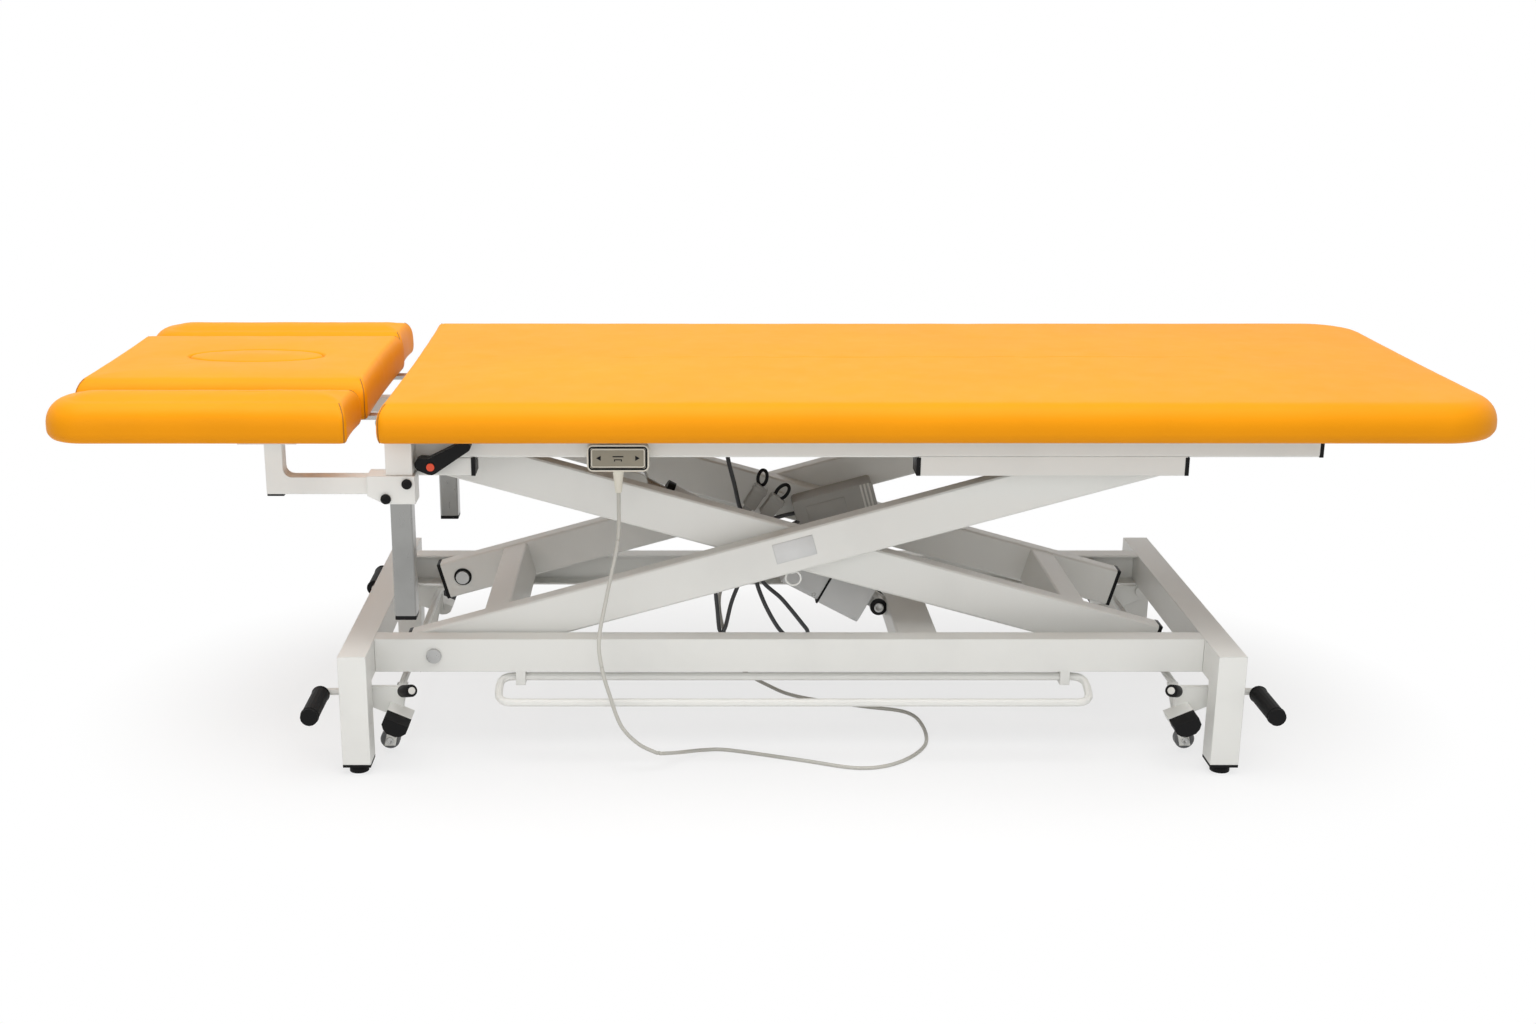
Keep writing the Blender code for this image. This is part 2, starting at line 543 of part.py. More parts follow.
def make_base(look):
    """End frames, rails, actuator cross tube, feet and lower pivot bolts."""
    half = BASE_WIDTH / 2
    leg_face = half - TUBE
    bar_low = BASE_TOP - RAIL_HEIGHT
    for end, leg_x, _ in ENDS:
        outer = [(-half, FOOT_HEIGHT), (-half, BASE_TOP), (half, BASE_TOP), (half, FOOT_HEIGHT),
                 (leg_face, FOOT_HEIGHT), (leg_face, bar_low), (-leg_face, bar_low), (-leg_face, FOOT_HEIGHT)]
        y_out, y_in = half - TUBE_WALL, leg_face + TUBE_WALL
        inner = [(-y_out, 0), (-y_out, BASE_TOP - TUBE_WALL), (y_out, BASE_TOP - TUBE_WALL), (y_out, 0),
                 (y_in, 0), (y_in, bar_low + TUBE_WALL), (-y_in, bar_low + TUBE_WALL), (-y_in, 0)]
        frame = combine(plate(outer, leg_x - TUBE / 2, leg_x + TUBE / 2, "YZ"),
                        cut=[plate(inner, leg_x - TUBE / 2 + TUBE_WALL, leg_x + TUBE / 2 - TUBE_WALL, "YZ")])
        studs = []
        inner_face = LEVER_Y - LEVER_BAR / 2 - GAP
        collar = leg_face + TUBE_WALL / 2 - inner_face - LEVER_BAR - 2 * GAP
        for name, side in SIDES:
            studs.append(bolt((leg_x, side * (inner_face - PIN_HEAD), LEVER_PIVOT_Z), (0, side, 0),
                              [(PIN_HEAD, 2 * LEVER_PIN_R), (LEVER_BAR + 2 * GAP, LEVER_PIN_R),
                               (collar, 1.8 * LEVER_PIN_R)]))
            leg_y = side * (half - TUBE / 2)
            plug = TUBE / 2 - TUBE_WALL - GAP
            flange = box((leg_x - TUBE / 2, leg_y - TUBE / 2, FOOT_HEIGHT - GAP - FLANGE),
                         (leg_x + TUBE / 2, leg_y + TUBE / 2, FOOT_HEIGHT - GAP))
            stub = box((leg_x - plug, leg_y - plug, FOOT_HEIGHT - GAP - FLANGE / 2),
                       (leg_x + plug, leg_y + plug, FOOT_HEIGHT + PLUG_DEPTH))
            pad = turned([(0, FOOT_R), (FOOT_PAD, FOOT_R), (FOOT_HEIGHT - GAP - FLANGE / 2, FOOT_R * 0.75)],
                         (leg_x, leg_y, 0), (0, 0, 1))
            keep(f"foot_{end}_{name}", combine(flange, add=[stub, pad]), "base", look["rubber"])
        keep("end_frame_" + end, combine(frame, add=studs), "base", look["paint"])
    low_x = HEAD_LEG_X + TUBE / 2 + GAP
    high_x = FOOT_LEG_X - TUBE / 2 - GAP
    for name, side in SIDES:
        out, inn = side * BASE_RAIL_Y, side * BASE_RAIL_IN
        web = side * (BASE_RAIL_Y - RAIL_WALL)
        channel = [(out, bar_low), (inn, bar_low), (inn, bar_low + RAIL_WALL), (web, bar_low + RAIL_WALL),
                   (web, BASE_TOP - RAIL_WALL), (inn, BASE_TOP - RAIL_WALL), (inn, BASE_TOP), (out, BASE_TOP)]
        hole = rod((PIVOT_X, side * 0.9 * BASE_RAIL_IN, PIVOT_Z), (PIVOT_X, side * 1.1 * BASE_RAIL_Y, PIVOT_Z), PIN_R + GAP)
        hangers = bar_hangers(bar_low) if side < 0 else []
        holes = [hole] + [rod((x - HANGER, -BAR_Y, BAR_Z), (x + HANGER, -BAR_Y, BAR_Z), BAR_R + GAP)
                          for x in hanger_places() if side < 0]
        keep("base_rail_" + name, combine(plate(channel, low_x, high_x, "YZ"), add=hangers, cut=holes), "base", look["paint"])
        grip = BASE_RAIL_Y - OUTER_ARM_IN + 2 * GAP
        keep("lower_pivot_bolt_" + name, bolt((PIVOT_X, side * (BASE_RAIL_Y + GAP + PIN_HEAD), PIVOT_Z), (0, -side, 0),
                                              [(PIN_HEAD, PIVOT_HEAD_R), (grip, PIN_R), (NUT, PIVOT_HEAD_R)]),
             "base", look["steel"])
    reach = BASE_RAIL_IN - GAP
    tube_low, tube_high = BASE_CROSS_X - BASE_CROSS_WIDTH / 2, BASE_CROSS_X + BASE_CROSS_WIDTH / 2
    cross = hollow((tube_low, -reach, bar_low), (tube_high, reach, bar_low + BASE_CROSS_HEIGHT), TUBE_WALL, "Y")
    near, far = EYE_WIDTH / 2 + GAP, EYE_WIDTH / 2 + GAP + EAR_THICK
    ears = [rod((CLEVIS_X, -far - PIN_HEAD, CLEVIS_Z), (CLEVIS_X, far + PIN_HEAD, CLEVIS_Z), CLEVIS_PIN_R)]
    for _, side in SIDES:
        tip = [(CLEVIS_X + EAR_R * math.cos(a), CLEVIS_Z + EAR_R * math.sin(a))
               for a in (math.radians(90 + 30 * k) for k in range(7))]
        root = [(tube_low + TUBE_WALL / 2, CLEVIS_Z - EAR_R), (tube_low + TUBE_WALL / 2, CLEVIS_Z + EAR_R * 0.4)]
        ears.append(plate(tip + root, *sorted((side * near, side * far))))
    keep("base_cross_tube", combine(cross, add=ears), "base", look["paint"])


def hanger_places():
    """Where the foot bar's two hangers stand along the front rail."""
    return (BAR_HEAD_X + BAR_HANGER_IN, BAR_FOOT_X - BAR_HANGER_IN)


def bar_hangers(rail_low):
    """Blocks under the front rail that carry the foot bar."""
    blocks = []
    for x in hanger_places():
        blocks.append(box((x - HANGER / 2, -BAR_Y - 1.7 * BAR_R, BAR_Z - 1.7 * BAR_R),
                          (x + HANGER / 2, -BAR_Y + 1.7 * BAR_R, rail_low + RAIL_WALL / 2)))
    return blocks


def arm(side, y_out, y_in, x_low, x_high, bores):
    """One hollow lift arm in its frame's own axes, bored through at each x in bores."""
    low = (x_low, min(side * y_out, side * y_in), -ARM_HEIGHT / 2)
    high = (x_high, max(side * y_out, side * y_in), ARM_HEIGHT / 2)
    cuts = [rod((x, side * (y_in - ARM_WIDTH), 0), (x, side * (y_out + ARM_WIDTH), 0), PIN_R + GAP) for x in bores]
    return hollow(low, high, ARM_WALL, "X", extra_cut=cuts)


def cross_tube(x, y_in):
    """A tube welded between two arms, with a vent hole in its underside."""
    reach = y_in + ARM_WALL / 2
    vent = rod((x, 0, -ARM_CROSS_HEIGHT), (x, 0, 0), VENT_R, sides=8)
    return hollow((x - ARM_CROSS / 2, -reach, -ARM_CROSS_HEIGHT / 2),
                  (x + ARM_CROSS / 2, reach, ARM_CROSS_HEIGHT / 2), TUBE_WALL, "Y", extra_cut=[vent])


def make_lift(look):
    """Outer and inner arm frames with their cross tubes, pivot pins and axles, and the rollers."""
    low, high = -ARM_OVERHANG, ARM_PITCH + ARM_OVERHANG
    mid = ARM_PITCH / 2
    head = PIVOT_HEAD_R
    outer, inner = [], []
    for name, side in SIDES:
        inwards, outwards = (0, -side, 0), (0, side, 0)
        outer.append(arm(side, OUTER_ARM_Y, OUTER_ARM_IN, low, high, (0,)))
        outer.append(bolt((mid, side * (OUTER_ARM_IN + ARM_WALL / 2), 0), inwards,
                          [(ARM_WALL / 2 + ARM_CLEAR - GAP, head), (ARM_WIDTH + 2 * GAP, PIN_R), (NUT, head)]))
        outer.append(bolt((ARM_PITCH, side * (OUTER_ARM_Y - ARM_WALL / 2), 0), outwards,
                          [(ARM_WALL / 2 + TRACK_IN - OUTER_ARM_Y, head * 0.8), (UPPER_ROLLER_WIDTH, AXLE_R)]))
        inner.append(arm(side, INNER_ARM_Y, INNER_ARM_IN, low - mid, high - mid, (-mid, 0)))
        inner.append(bolt((mid, side * (INNER_ARM_Y - ARM_WALL / 2), 0), outwards,
                          [(ARM_WALL / 2 + BASE_RAIL_IN - INNER_ARM_Y, head), (LOWER_ROLLER_WIDTH, AXLE_R)]))
        for kind, start, width, radius, height in (
                ("upper", TRACK_IN + 2 * GAP, UPPER_ROLLER_WIDTH - 2 * GAP, UPPER_ROLLER_R, TOP_PIVOT_Z),
                ("lower", BASE_RAIL_IN + 2 * GAP, LOWER_ROLLER_WIDTH - 2 * GAP, LOWER_ROLLER_R, PIVOT_Z)):
            ends = [(PIVOT_X + SPAN, side * y, height) for y in (start, start + width)]
            bore = [(PIVOT_X + SPAN, side * y, height) for y in (start - width, start + 2 * width)]
            wheel = combine(rod(*ends, radius, sides=24), cut=[rod(*bore, AXLE_R + GAP, sides=24)])
            keep(f"{kind}_roller_{name}", wheel, kind + "_rollers", look["nylon"])
    outer.append(cross_tube(ARM_CROSS_REACH, OUTER_ARM_IN))
    pin_x = ROD_PIN_REACH - mid
    tube_x = pin_x - ROD_CROSS_BACK
    inner += [cross_tube(mid - ARM_CROSS_REACH, INNER_ARM_IN), cross_tube(tube_x, INNER_ARM_IN)]
    for _, side in SIDES:
        near, far = EYE_WIDTH / 2 + 2 * GAP, EYE_WIDTH / 2 + 2 * GAP + EAR_THICK
        tip = [(pin_x + EAR_R * math.sin(a), EAR_R * math.cos(a)) for a in (math.radians(30 * k) for k in range(7))]
        root_x = tube_x + ARM_CROSS / 2 - TUBE_WALL / 2
        inner.append(plate(tip + [(root_x, -EAR_R), (root_x, EAR_R)], *sorted((side * near, side * far))))
    keep("outer_arm_frame", combine(outer[0], add=outer[1:]), "outer_frame", look["paint"], local=True)
    keep("inner_arm_frame", combine(inner[0], add=inner[1:]), "inner_frame", look["paint"], local=True)


def make_actuator(look):
    """Spindle actuator: motor covers, outer tube and rod, along the line between its two pins."""
    split = MOTOR_START + MOTOR_LENGTH * 0.52
    stop = MOTOR_START + MOTOR_LENGTH
    y, z = MOTOR_DEPTH / 2, MOTOR_WIDTH / 2
    bore = OUTER_TUBE_R + GAP
    lug = combine(rod((0, -EYE_WIDTH / 2, 0), (0, EYE_WIDTH / 2, 0), EAR_R * 0.78),
                  add=[box((0, -EYE_WIDTH * 0.45, -EAR_R * 0.6), (MOTOR_START + TUBE_WALL, EYE_WIDTH * 0.45, EAR_R * 0.6))])
    lower = combine(box((MOTOR_START, -y, -z), (split - GAP, y, z), MOTOR_ROUND, along="X"), add=[lug],
                    cut=[rod((0, -EYE_WIDTH, 0), (0, EYE_WIDTH, 0), CLEVIS_PIN_R + GAP)])
    keep("motor_housing", lower, "actuator", look["alloy"], local=True)
    boss = rod((CORD_BOSS_AT, y * 0.9, 0), (CORD_BOSS_AT, CORD_BOSS_OUT, 0), CORD_BOSS_R)
    upper = combine(box((split, -y * 0.94, -z * 0.94), (stop, y * 0.94, z * 0.94), MOTOR_ROUND, along="X"), add=[boss],
                    cut=[rod((TUBE_START, 0, 0), (stop + bore, 0, 0), bore, sides=24)])
    keep("gear_cover", upper, "actuator", look["alloy"], local=True)
    end = ACTUATOR_LENGTH - ROD_SHOWN
    tube = combine(rod((TUBE_START + GAP, 0, 0), (end - COLLAR - GAP, 0, 0), OUTER_TUBE_R, sides=24),
                   cut=[rod((TUBE_START + TUBE_WALL * 2, 0, 0), (end, 0, 0), ROD_R + RUN)])
    keep("actuator_tube", tube, "actuator", look["alloy"], local=True)
    collar = combine(rod((end - COLLAR, 0, 0), (end, 0, 0), OUTER_TUBE_R + COLLAR / 5, sides=24),
                     cut=[rod((end - 2 * COLLAR, 0, 0), (end + COLLAR, 0, 0), ROD_R + RUN)])
    keep("tube_collar", collar, "actuator", look["black"], local=True)
    length = ACTUATOR_LENGTH
    span = EYE_WIDTH / 2 + GAP
    stem = combine(rod((TUBE_START + TUBE_WALL * 2 + ROD_BACK, 0, 0), (length, 0, 0), ROD_R),
                   add=[rod((length, -EYE_WIDTH / 2, 0), (length, EYE_WIDTH / 2, 0), EAR_R * 0.9),
                        rod((length, -span, 0), (length, span, 0), CLEVIS_PIN_R)])
    keep("actuator_rod", stem, "actuator_rod", look["steel"], local=True)


def make_top_frame(look):
    """Welded top frame with its roller tracks, pivot tubes and sleeves, and the armrest posts."""
    pieces = []
    weld = TOP_WALL / 2
    z0, z1 = TRACK_TOP - TRACK_HEIGHT, TOP_RAIL_BOTTOM + weld
    for name, side in SIDES:
        y0, y1 = sorted((side * TOP_RAIL_Y, side * TOP_RAIL_IN))
        pieces.append(hollow((TOP_RAIL_HEAD_X, y0, TOP_RAIL_BOTTOM), (TOP_RAIL_FOOT_X, y1, TOP_RAIL_TOP), TOP_WALL, "X"))
        out, inn = side * (TOP_RAIL_Y - WELD_STEP), side * TRACK_IN
        web = out - side * TOP_WALL
        pieces.append(plate([(out, z0), (inn, z0), (inn, z0 + TOP_WALL), (web, z0 + TOP_WALL),
                             (web, TRACK_TOP - TOP_WALL), (inn, TRACK_TOP - TOP_WALL), (inn, z1), (out, z1)],
                            TRACK_HEAD_X, TRACK_FOOT_X, "YZ"))
        y0, y1 = sorted((out, inn))
        pieces.append(hollow((TOP_RAIL_HEAD_X + WELD_STEP, y0, z0), (PIVOT_TUBE_FOOT_X, y1, z1), TOP_WALL, "X"))
        pieces.append(bolt((PIVOT_X, side * (TRACK_IN + TOP_WALL / 2), TOP_PIVOT_Z), (0, -side, 0),
                           [(TOP_WALL / 2 + TRACK_IN - INNER_ARM_Y - GAP, PIVOT_HEAD_R),
                            (ARM_WIDTH + 2 * GAP, PIN_R), (NUT, PIVOT_HEAD_R)]))
        hole = POST_SIZE / 2 + GAP
        y0, y1 = sorted((side * (TOP_RAIL_Y - weld), side * (POST_Y + SLEEVE_OUT)))
        pieces.append(combine(box((POST_X - SLEEVE_OUT, y0, SLEEVE_BOTTOM), (POST_X + SLEEVE_OUT, y1, TOP_RAIL_TOP - WELD_STEP)),
                              cut=[box((POST_X - hole, side * POST_Y - hole, 0), (POST_X + hole, side * POST_Y + hole, 1))]))
        half = POST_SIZE / 2
        post = hollow((POST_X - half, side * POST_Y - half, TOP_RAIL_TOP - POST_LENGTH),
                      (POST_X + half, side * POST_Y + half, TOP_RAIL_TOP - GAP), POST_WALL, "Z")
        keep("armrest_post_" + name, post, "top", look["chrome"])
    for x in TOP_CROSS_X:
        reach = TOP_RAIL_IN + weld
        high = TOP_RAIL_TOP - WELD_STEP
        vent = rod((x, 0, high - 2 * CROSS_SIZE), (x, 0, high - CROSS_SIZE / 2), VENT_R, sides=8)
        pieces.append(hollow((x - CROSS_SIZE / 2, -reach, high - CROSS_SIZE), (x + CROSS_SIZE / 2, reach, high),
                             TOP_WALL, "Y", extra_cut=[vent]))
    keep("top_frame", combine(pieces[0], add=pieces[1:]), "top", look["paint"])


def plan(low, high, radii, inset, corner=5, edge=4):
    """Points round a rectangle with rounded corners; radii start at the low corner and go round."""
    x0, y0, x1, y1 = low[0] + inset, low[1] + inset, high[0] - inset, high[1] - inset
    corners = ((x0, y0, 1, 1, 180), (x1, y0, -1, 1, 270), (x1, y1, -1, -1, 0), (x0, y1, 1, -1, 90))
    rounded = []
    for (x, y, dx, dy, start), radius in zip(corners, radii):
        r = max(radius - inset, PAD_LEAST_R)
        rounded.append([(x + dx * r + r * math.cos(math.radians(start + 90 * k / corner)),
                         y + dy * r + r * math.sin(math.radians(start + 90 * k / corner))) for k in range(corner + 1)])
    points = []
    for arc, following in zip(rounded, rounded[1:] + rounded[:1]):
        points += arc
        (xa, ya), (xb, yb) = arc[-1], following[0]
        points += [(xa + (xb - xa) * k / edge, ya + (yb - ya) * k / edge) for k in range(1, edge)]
    return points


def cushion(low, high, radii, bottom, thick, crown, pull):
    """An upholstered pad: rounded edges, sides drawn in between the corners and a crowned top."""
    shape = bmesh.new()
    levels = [(PAD_TUCK * 0.6, 0.0), (PAD_TUCK * 0.2, PAD_TUCK * 0.4), (0.0, PAD_TUCK), (0.0, thick - PAD_ROUND)]
    levels += [(PAD_ROUND * (1 - math.cos(a)), thick - PAD_ROUND + PAD_ROUND * math.sin(a))
               for a in (math.radians(22.5 * k) for k in (1, 2, 3, 4))]
    half = min(high[0] - low[0], high[1] - low[1]) / 2
    levels += [(half * share, thick + crown * math.sin(math.pi / 2 * share)) for share in (0.62, 0.8, 0.92)]
    middle = Vector(((low[0] + high[0]) / 2, (low[1] + high[1]) / 2))
    size = Vector(((high[0] - low[0]) / 2, (high[1] - low[1]) / 2))
    rings = []
    for inset, rise in levels:
        ring = []
        for x, y in plan(low, high, radii, inset):
            u, v = (x - middle[0]) / size[0], (y - middle[1]) / size[1]
            draw = pull if rise < thick else 0.0
            x -= draw * u * abs(u) ** 6 * (1 - v * v)
            y -= draw * v * abs(v) ** 6 * (1 - u * u)
            ring.append(shape.verts.new((x, y, bottom + rise)))
        rings.append(ring)
    count = len(rings[0])
    for lower, upper in zip(rings, rings[1:]):
        for k in range(count):
            shape.faces.new((lower[k - 1], lower[k], upper[k], upper[k - 1]))
    shape.faces.new(rings[0])
    shape.faces.new(rings[-1])
    bmesh.ops.triangulate(shape, faces=shape.faces)
    return finish_mesh(shape)


def make_pads(look):
    """Boards, main pad, head pad with its nose plug, and armrest pads."""
    half = PAD_WIDTH / 2
    board_top = PAD_BOTTOM + BOARD_THICK
    inset = BOARD_INSET

    def board(low, high, radii):
        return plate(plan(low, high, radii, inset, edge=1), PAD_BOTTOM, board_top, "XY")

    def pocket(low, high, radii):
        return plate(plan(low, high, radii, inset - GAP, edge=1), PAD_BOTTOM - BOARD_THICK, board_top + GAP, "XY")

    low, high = (MAIN_PAD_X, -half), (FOOT_END_X, half)
    radii = (MAIN_HINGE_R, MAIN_CORNER_R, MAIN_CORNER_R, MAIN_HINGE_R)
    pad = cushion(low, high, radii, PAD_BOTTOM, MAIN_PAD_THICK, PAD_CROWN, PAD_PULL)
    keep("main_pad", combine(pad, cut=[pocket(low, high, radii)]), "top", look["vinyl"], 50)
    keep("main_board", board(low, high, radii), "top", look["wood"])

    width = HEAD_PAD_WIDTH / 2
    low, high = (HEAD_END_X + HEAD_SHORT, -width), (HEAD_PAD_X, width)
    radii = (HEAD_CORNER_R,) * 4
    pad = cushion(low, high, radii, PAD_BOTTOM, HEAD_PAD_THICK, PAD_CROWN, PAD_PULL)
    slot = plate(slot_outline(0), PAD_BOTTOM - BOARD_THICK, PAD_BOTTOM + 2 * HEAD_PAD_THICK, "XY")
    keep("head_pad", combine(pad, cut=[pocket(low, high, radii), slot]), "head_section", look["vinyl"], 50)
    keep("head_board", combine(board(low, high, radii), cut=[slot]), "head_section", look["wood"])
    rings = [(SEAM_GAP + PLUG_ROUND, 0), (SEAM_GAP, PLUG_ROUND), (SEAM_GAP, HEAD_PAD_THICK - PLUG_ROUND),
             (SEAM_GAP + PLUG_ROUND * 0.4, HEAD_PAD_THICK - PLUG_ROUND * 0.3), (SEAM_GAP + PLUG_ROUND * 1.6, HEAD_PAD_THICK),
             (SEAM_GAP + NOSE_SLOT_WIDTH / 4, HEAD_PAD_THICK + PAD_CROWN)]
    keep("nose_plug", lofted([[(x, y, PAD_BOTTOM + z) for x, y in slot_outline(inset)] for inset, z in rings]),
         "head_section", look["vinyl"], 50)

    inner = width + ARMREST_GAP
    small, large = HEAD_CORNER_R, (half - inner) * ARMREST_ROUND
    for name, side in SIDES:
        pad = cushion((HEAD_END_X, -half), (HEAD_PAD_X - ARMREST_SHORT, -inner), (large, small, small, large),
                      PAD_BOTTOM, HEAD_PAD_THICK, PAD_CROWN, PAD_PULL)
        if side > 0:
            pad.transform(Matrix.Diagonal((1, -1, 1, 1)))
            pad.flip_normals()
        keep("armrest_pad_" + name, pad, "armrest_" + name, look["vinyl"], 50)


def slot_outline(inset, steps=10):
    """The nose opening: a long round-ended slot, drawn in by an inset."""
    r = NOSE_SLOT_WIDTH / 2 - inset
    straight = (NOSE_SLOT_LENGTH - NOSE_SLOT_WIDTH) / 2
    points = []
    for centre, start in ((straight, -90), (-straight, 90)):
        points += [(NOSE_SLOT_X + centre + r * math.cos(math.radians(start + 180 * k / steps)),
                    r * math.sin(math.radians(start + 180 * k / steps))) for k in range(steps + 1)]
    return points


def lofted(rings):
    """A closed solid through rings of points."""
    shape = bmesh.new()
    made = [[shape.verts.new(p) for p in ring] for ring in rings]
    for lower, upper in zip(made, made[1:]):
        for k in range(len(lower)):
            shape.faces.new((lower[k - 1], lower[k], upper[k], upper[k - 1]))
    shape.faces.new(made[0])
    shape.faces.new(made[-1])
    return finish_mesh(shape)


def make_head_hinge(look):
    """Hinge under the boards: two knuckle pairs, each half on one flat bar."""
    plate_top = PAD_BOTTOM - GAP
    plate_low = plate_top - HINGE_PLATE
    halves = {"top": [], "head": []}
    bores = []
    for way, half in ((1, "top"), (-1, "head")):
        x0, x1 = sorted((HINGE_X + way * (HINGE_LEAF - HINGE_BAR), HINGE_X + way * HINGE_LEAF))
        halves[half].append(box((x0, -HINGE_Y - HINGE_WIDTH, plate_low), (x1, HINGE_Y + HINGE_WIDTH, plate_top)))
        for _, side in SIDES:
            y0, y1 = sorted((side * (HINGE_Y + way * GAP / 2), side * (HINGE_Y + way * HINGE_WIDTH)))
            x0, x1 = sorted((HINGE_X, HINGE_X + way * (HINGE_LEAF - HINGE_BAR / 2)))
            halves[half].append(box((x0, y0, plate_low), (x1, y1, plate_top)))
            halves[half].append(rod((HINGE_X, y0, HINGE_Z), (HINGE_X, y1, HINGE_Z), KNUCKLE_R))
    for _, side in SIDES:
        ends = [(HINGE_X, side * (HINGE_Y + HINGE_WIDTH / 2), HINGE_Z), (HINGE_X, side * (HINGE_Y - HINGE_WIDTH), HINGE_Z)]
        halves["top"].append(rod(*ends, HINGE_PIN_R))
        ends[1] = (HINGE_X, side * (HINGE_Y - 2 * HINGE_WIDTH), HINGE_Z)
        bores.append(rod(*ends, HINGE_PIN_R + GAP))
    keep("hinge_top", combine(halves["top"][0], add=halves["top"][1:]), "top", look["steel"])
    keep("hinge_head", combine(halves["head"][0], add=halves["head"][1:], cut=bores), "head_section", look["steel"])


def make_armrests(look):
    """Carriage on the post, with the cranked arm that carries the armrest pad."""
    top = SLEEVE_BOTTOM - GAP
    bottom = top - CARRIAGE_HEIGHT
    right = POST_X + POST_SIZE / 2 + RUN + CARRIAGE_WALL
    left = right - CARRIAGE_LENGTH
    arm_top = bottom + CARRIAGE_HEIGHT * 0.6 + CRANK_SIZE / 2
    arm_low = arm_top - CRANK_SIZE
    up0, up1 = CRANK_X - CRANK_SIZE / 2, CRANK_X + CRANK_SIZE / 2
    seat = PAD_BOTTOM - GAP
    fillet = [(up1 + CRANK_FILLET * (1 - math.cos(a)), arm_top + CRANK_FILLET * (1 - math.sin(a)))
              for a in (math.radians(22.5 * k) for k in range(5))]
    crank = [(up0, arm_low), (left + CRANK_SIZE / 2, arm_low), (left + CRANK_SIZE / 2, arm_top), *reversed(fillet),
             (up1, seat - SEAT_PLATE / 2), (up0, seat - SEAT_PLATE / 2)]
    cheek = [(left, top), (left, arm_low), (POST_X - POST_SIZE / 2 - CARRIAGE_WALL, bottom), (right, bottom), (right, top)]
    hole = POST_SIZE / 2 + RUN
    for name, side in SIDES:
        y = side * POST_Y
        faces = sorted((side * (TOP_RAIL_Y + 2 * RUN), side * (POST_Y + hole + CARRIAGE_WALL)))
        y_pad = sorted((side * (HEAD_PAD_WIDTH / 2 + ARMREST_GAP + BOARD_INSET), side * (PAD_WIDTH / 2 - BOARD_INSET)))
        bracket = combine(plate(cheek, *faces),
                          add=[plate(crank, y - CRANK_SIZE / 2, y + CRANK_SIZE / 2),
                               box((CRANK_X - SEAT_LENGTH / 2, y_pad[0], seat - SEAT_PLATE),
                                   (CRANK_X + SEAT_LENGTH / 2, y_pad[1], seat))],
                          cut=[box((POST_X - hole, y - hole, bottom - hole), (POST_X + hole, y + hole, top + hole))])
        keep("armrest_bracket_" + name, bracket, "armrest_" + name, look["paint"])


def make_clamp_lever(look):
    """Clamping lever on the head end of the front rail, with its release button."""
    face = -TOP_RAIL_Y - GAP
    back, front = face - LEVER_STAND, face - LEVER_STAND - LEVER_THICK
    circles = [(LEVER_TAIL, LEVER_TAIL_R), ((0.0, 0.0), LEVER_HUB_R), (LEVER_TIP, LEVER_TIP_R)]
    blocks = []
    for (near, near_r), (far, far_r) in zip(circles, circles[1:]):
        blocks.append(plate(stadium(near, near_r, far, far_r), front, back))
    stud = rod((LEVER_X, face, LEVER_Z), (LEVER_X, back - LEVER_THICK / 4, LEVER_Z), LEVER_HUB_R * 0.6)
    hole = rod((LEVER_X, front + BUTTON_DEPTH, LEVER_Z), (LEVER_X, front - LEVER_THICK, LEVER_Z), BUTTON_R + GAP, sides=20)
    lever = combine(blocks[0], add=[blocks[1], stud], cut=[hole])
    keep("clamp_lever", lever, "clamp_lever", look["black"])
    keep("lever_button", rod((LEVER_X, front + BUTTON_DEPTH - BUTTON_TRAVEL - GAP, LEVER_Z),
                             (LEVER_X, front - BUTTON_TRAVEL, LEVER_Z), BUTTON_R, sides=20), "lever_button", look["red"])


def stadium(near, near_r, far, far_r, steps=8):
    """An outline round two circles, placed on the lever's axis."""
    angle = math.atan2(far[1] - near[1], far[0] - near[0])
    points = []
    for (x, z), r, start in ((near, near_r, angle + math.pi / 2), (far, far_r, angle - math.pi / 2)):
        points += [(LEVER_X + x + r * math.cos(start + math.pi * k / steps),
                    LEVER_Z + z + r * math.sin(start + math.pi * k / steps)) for k in range(steps + 1)]
    return points


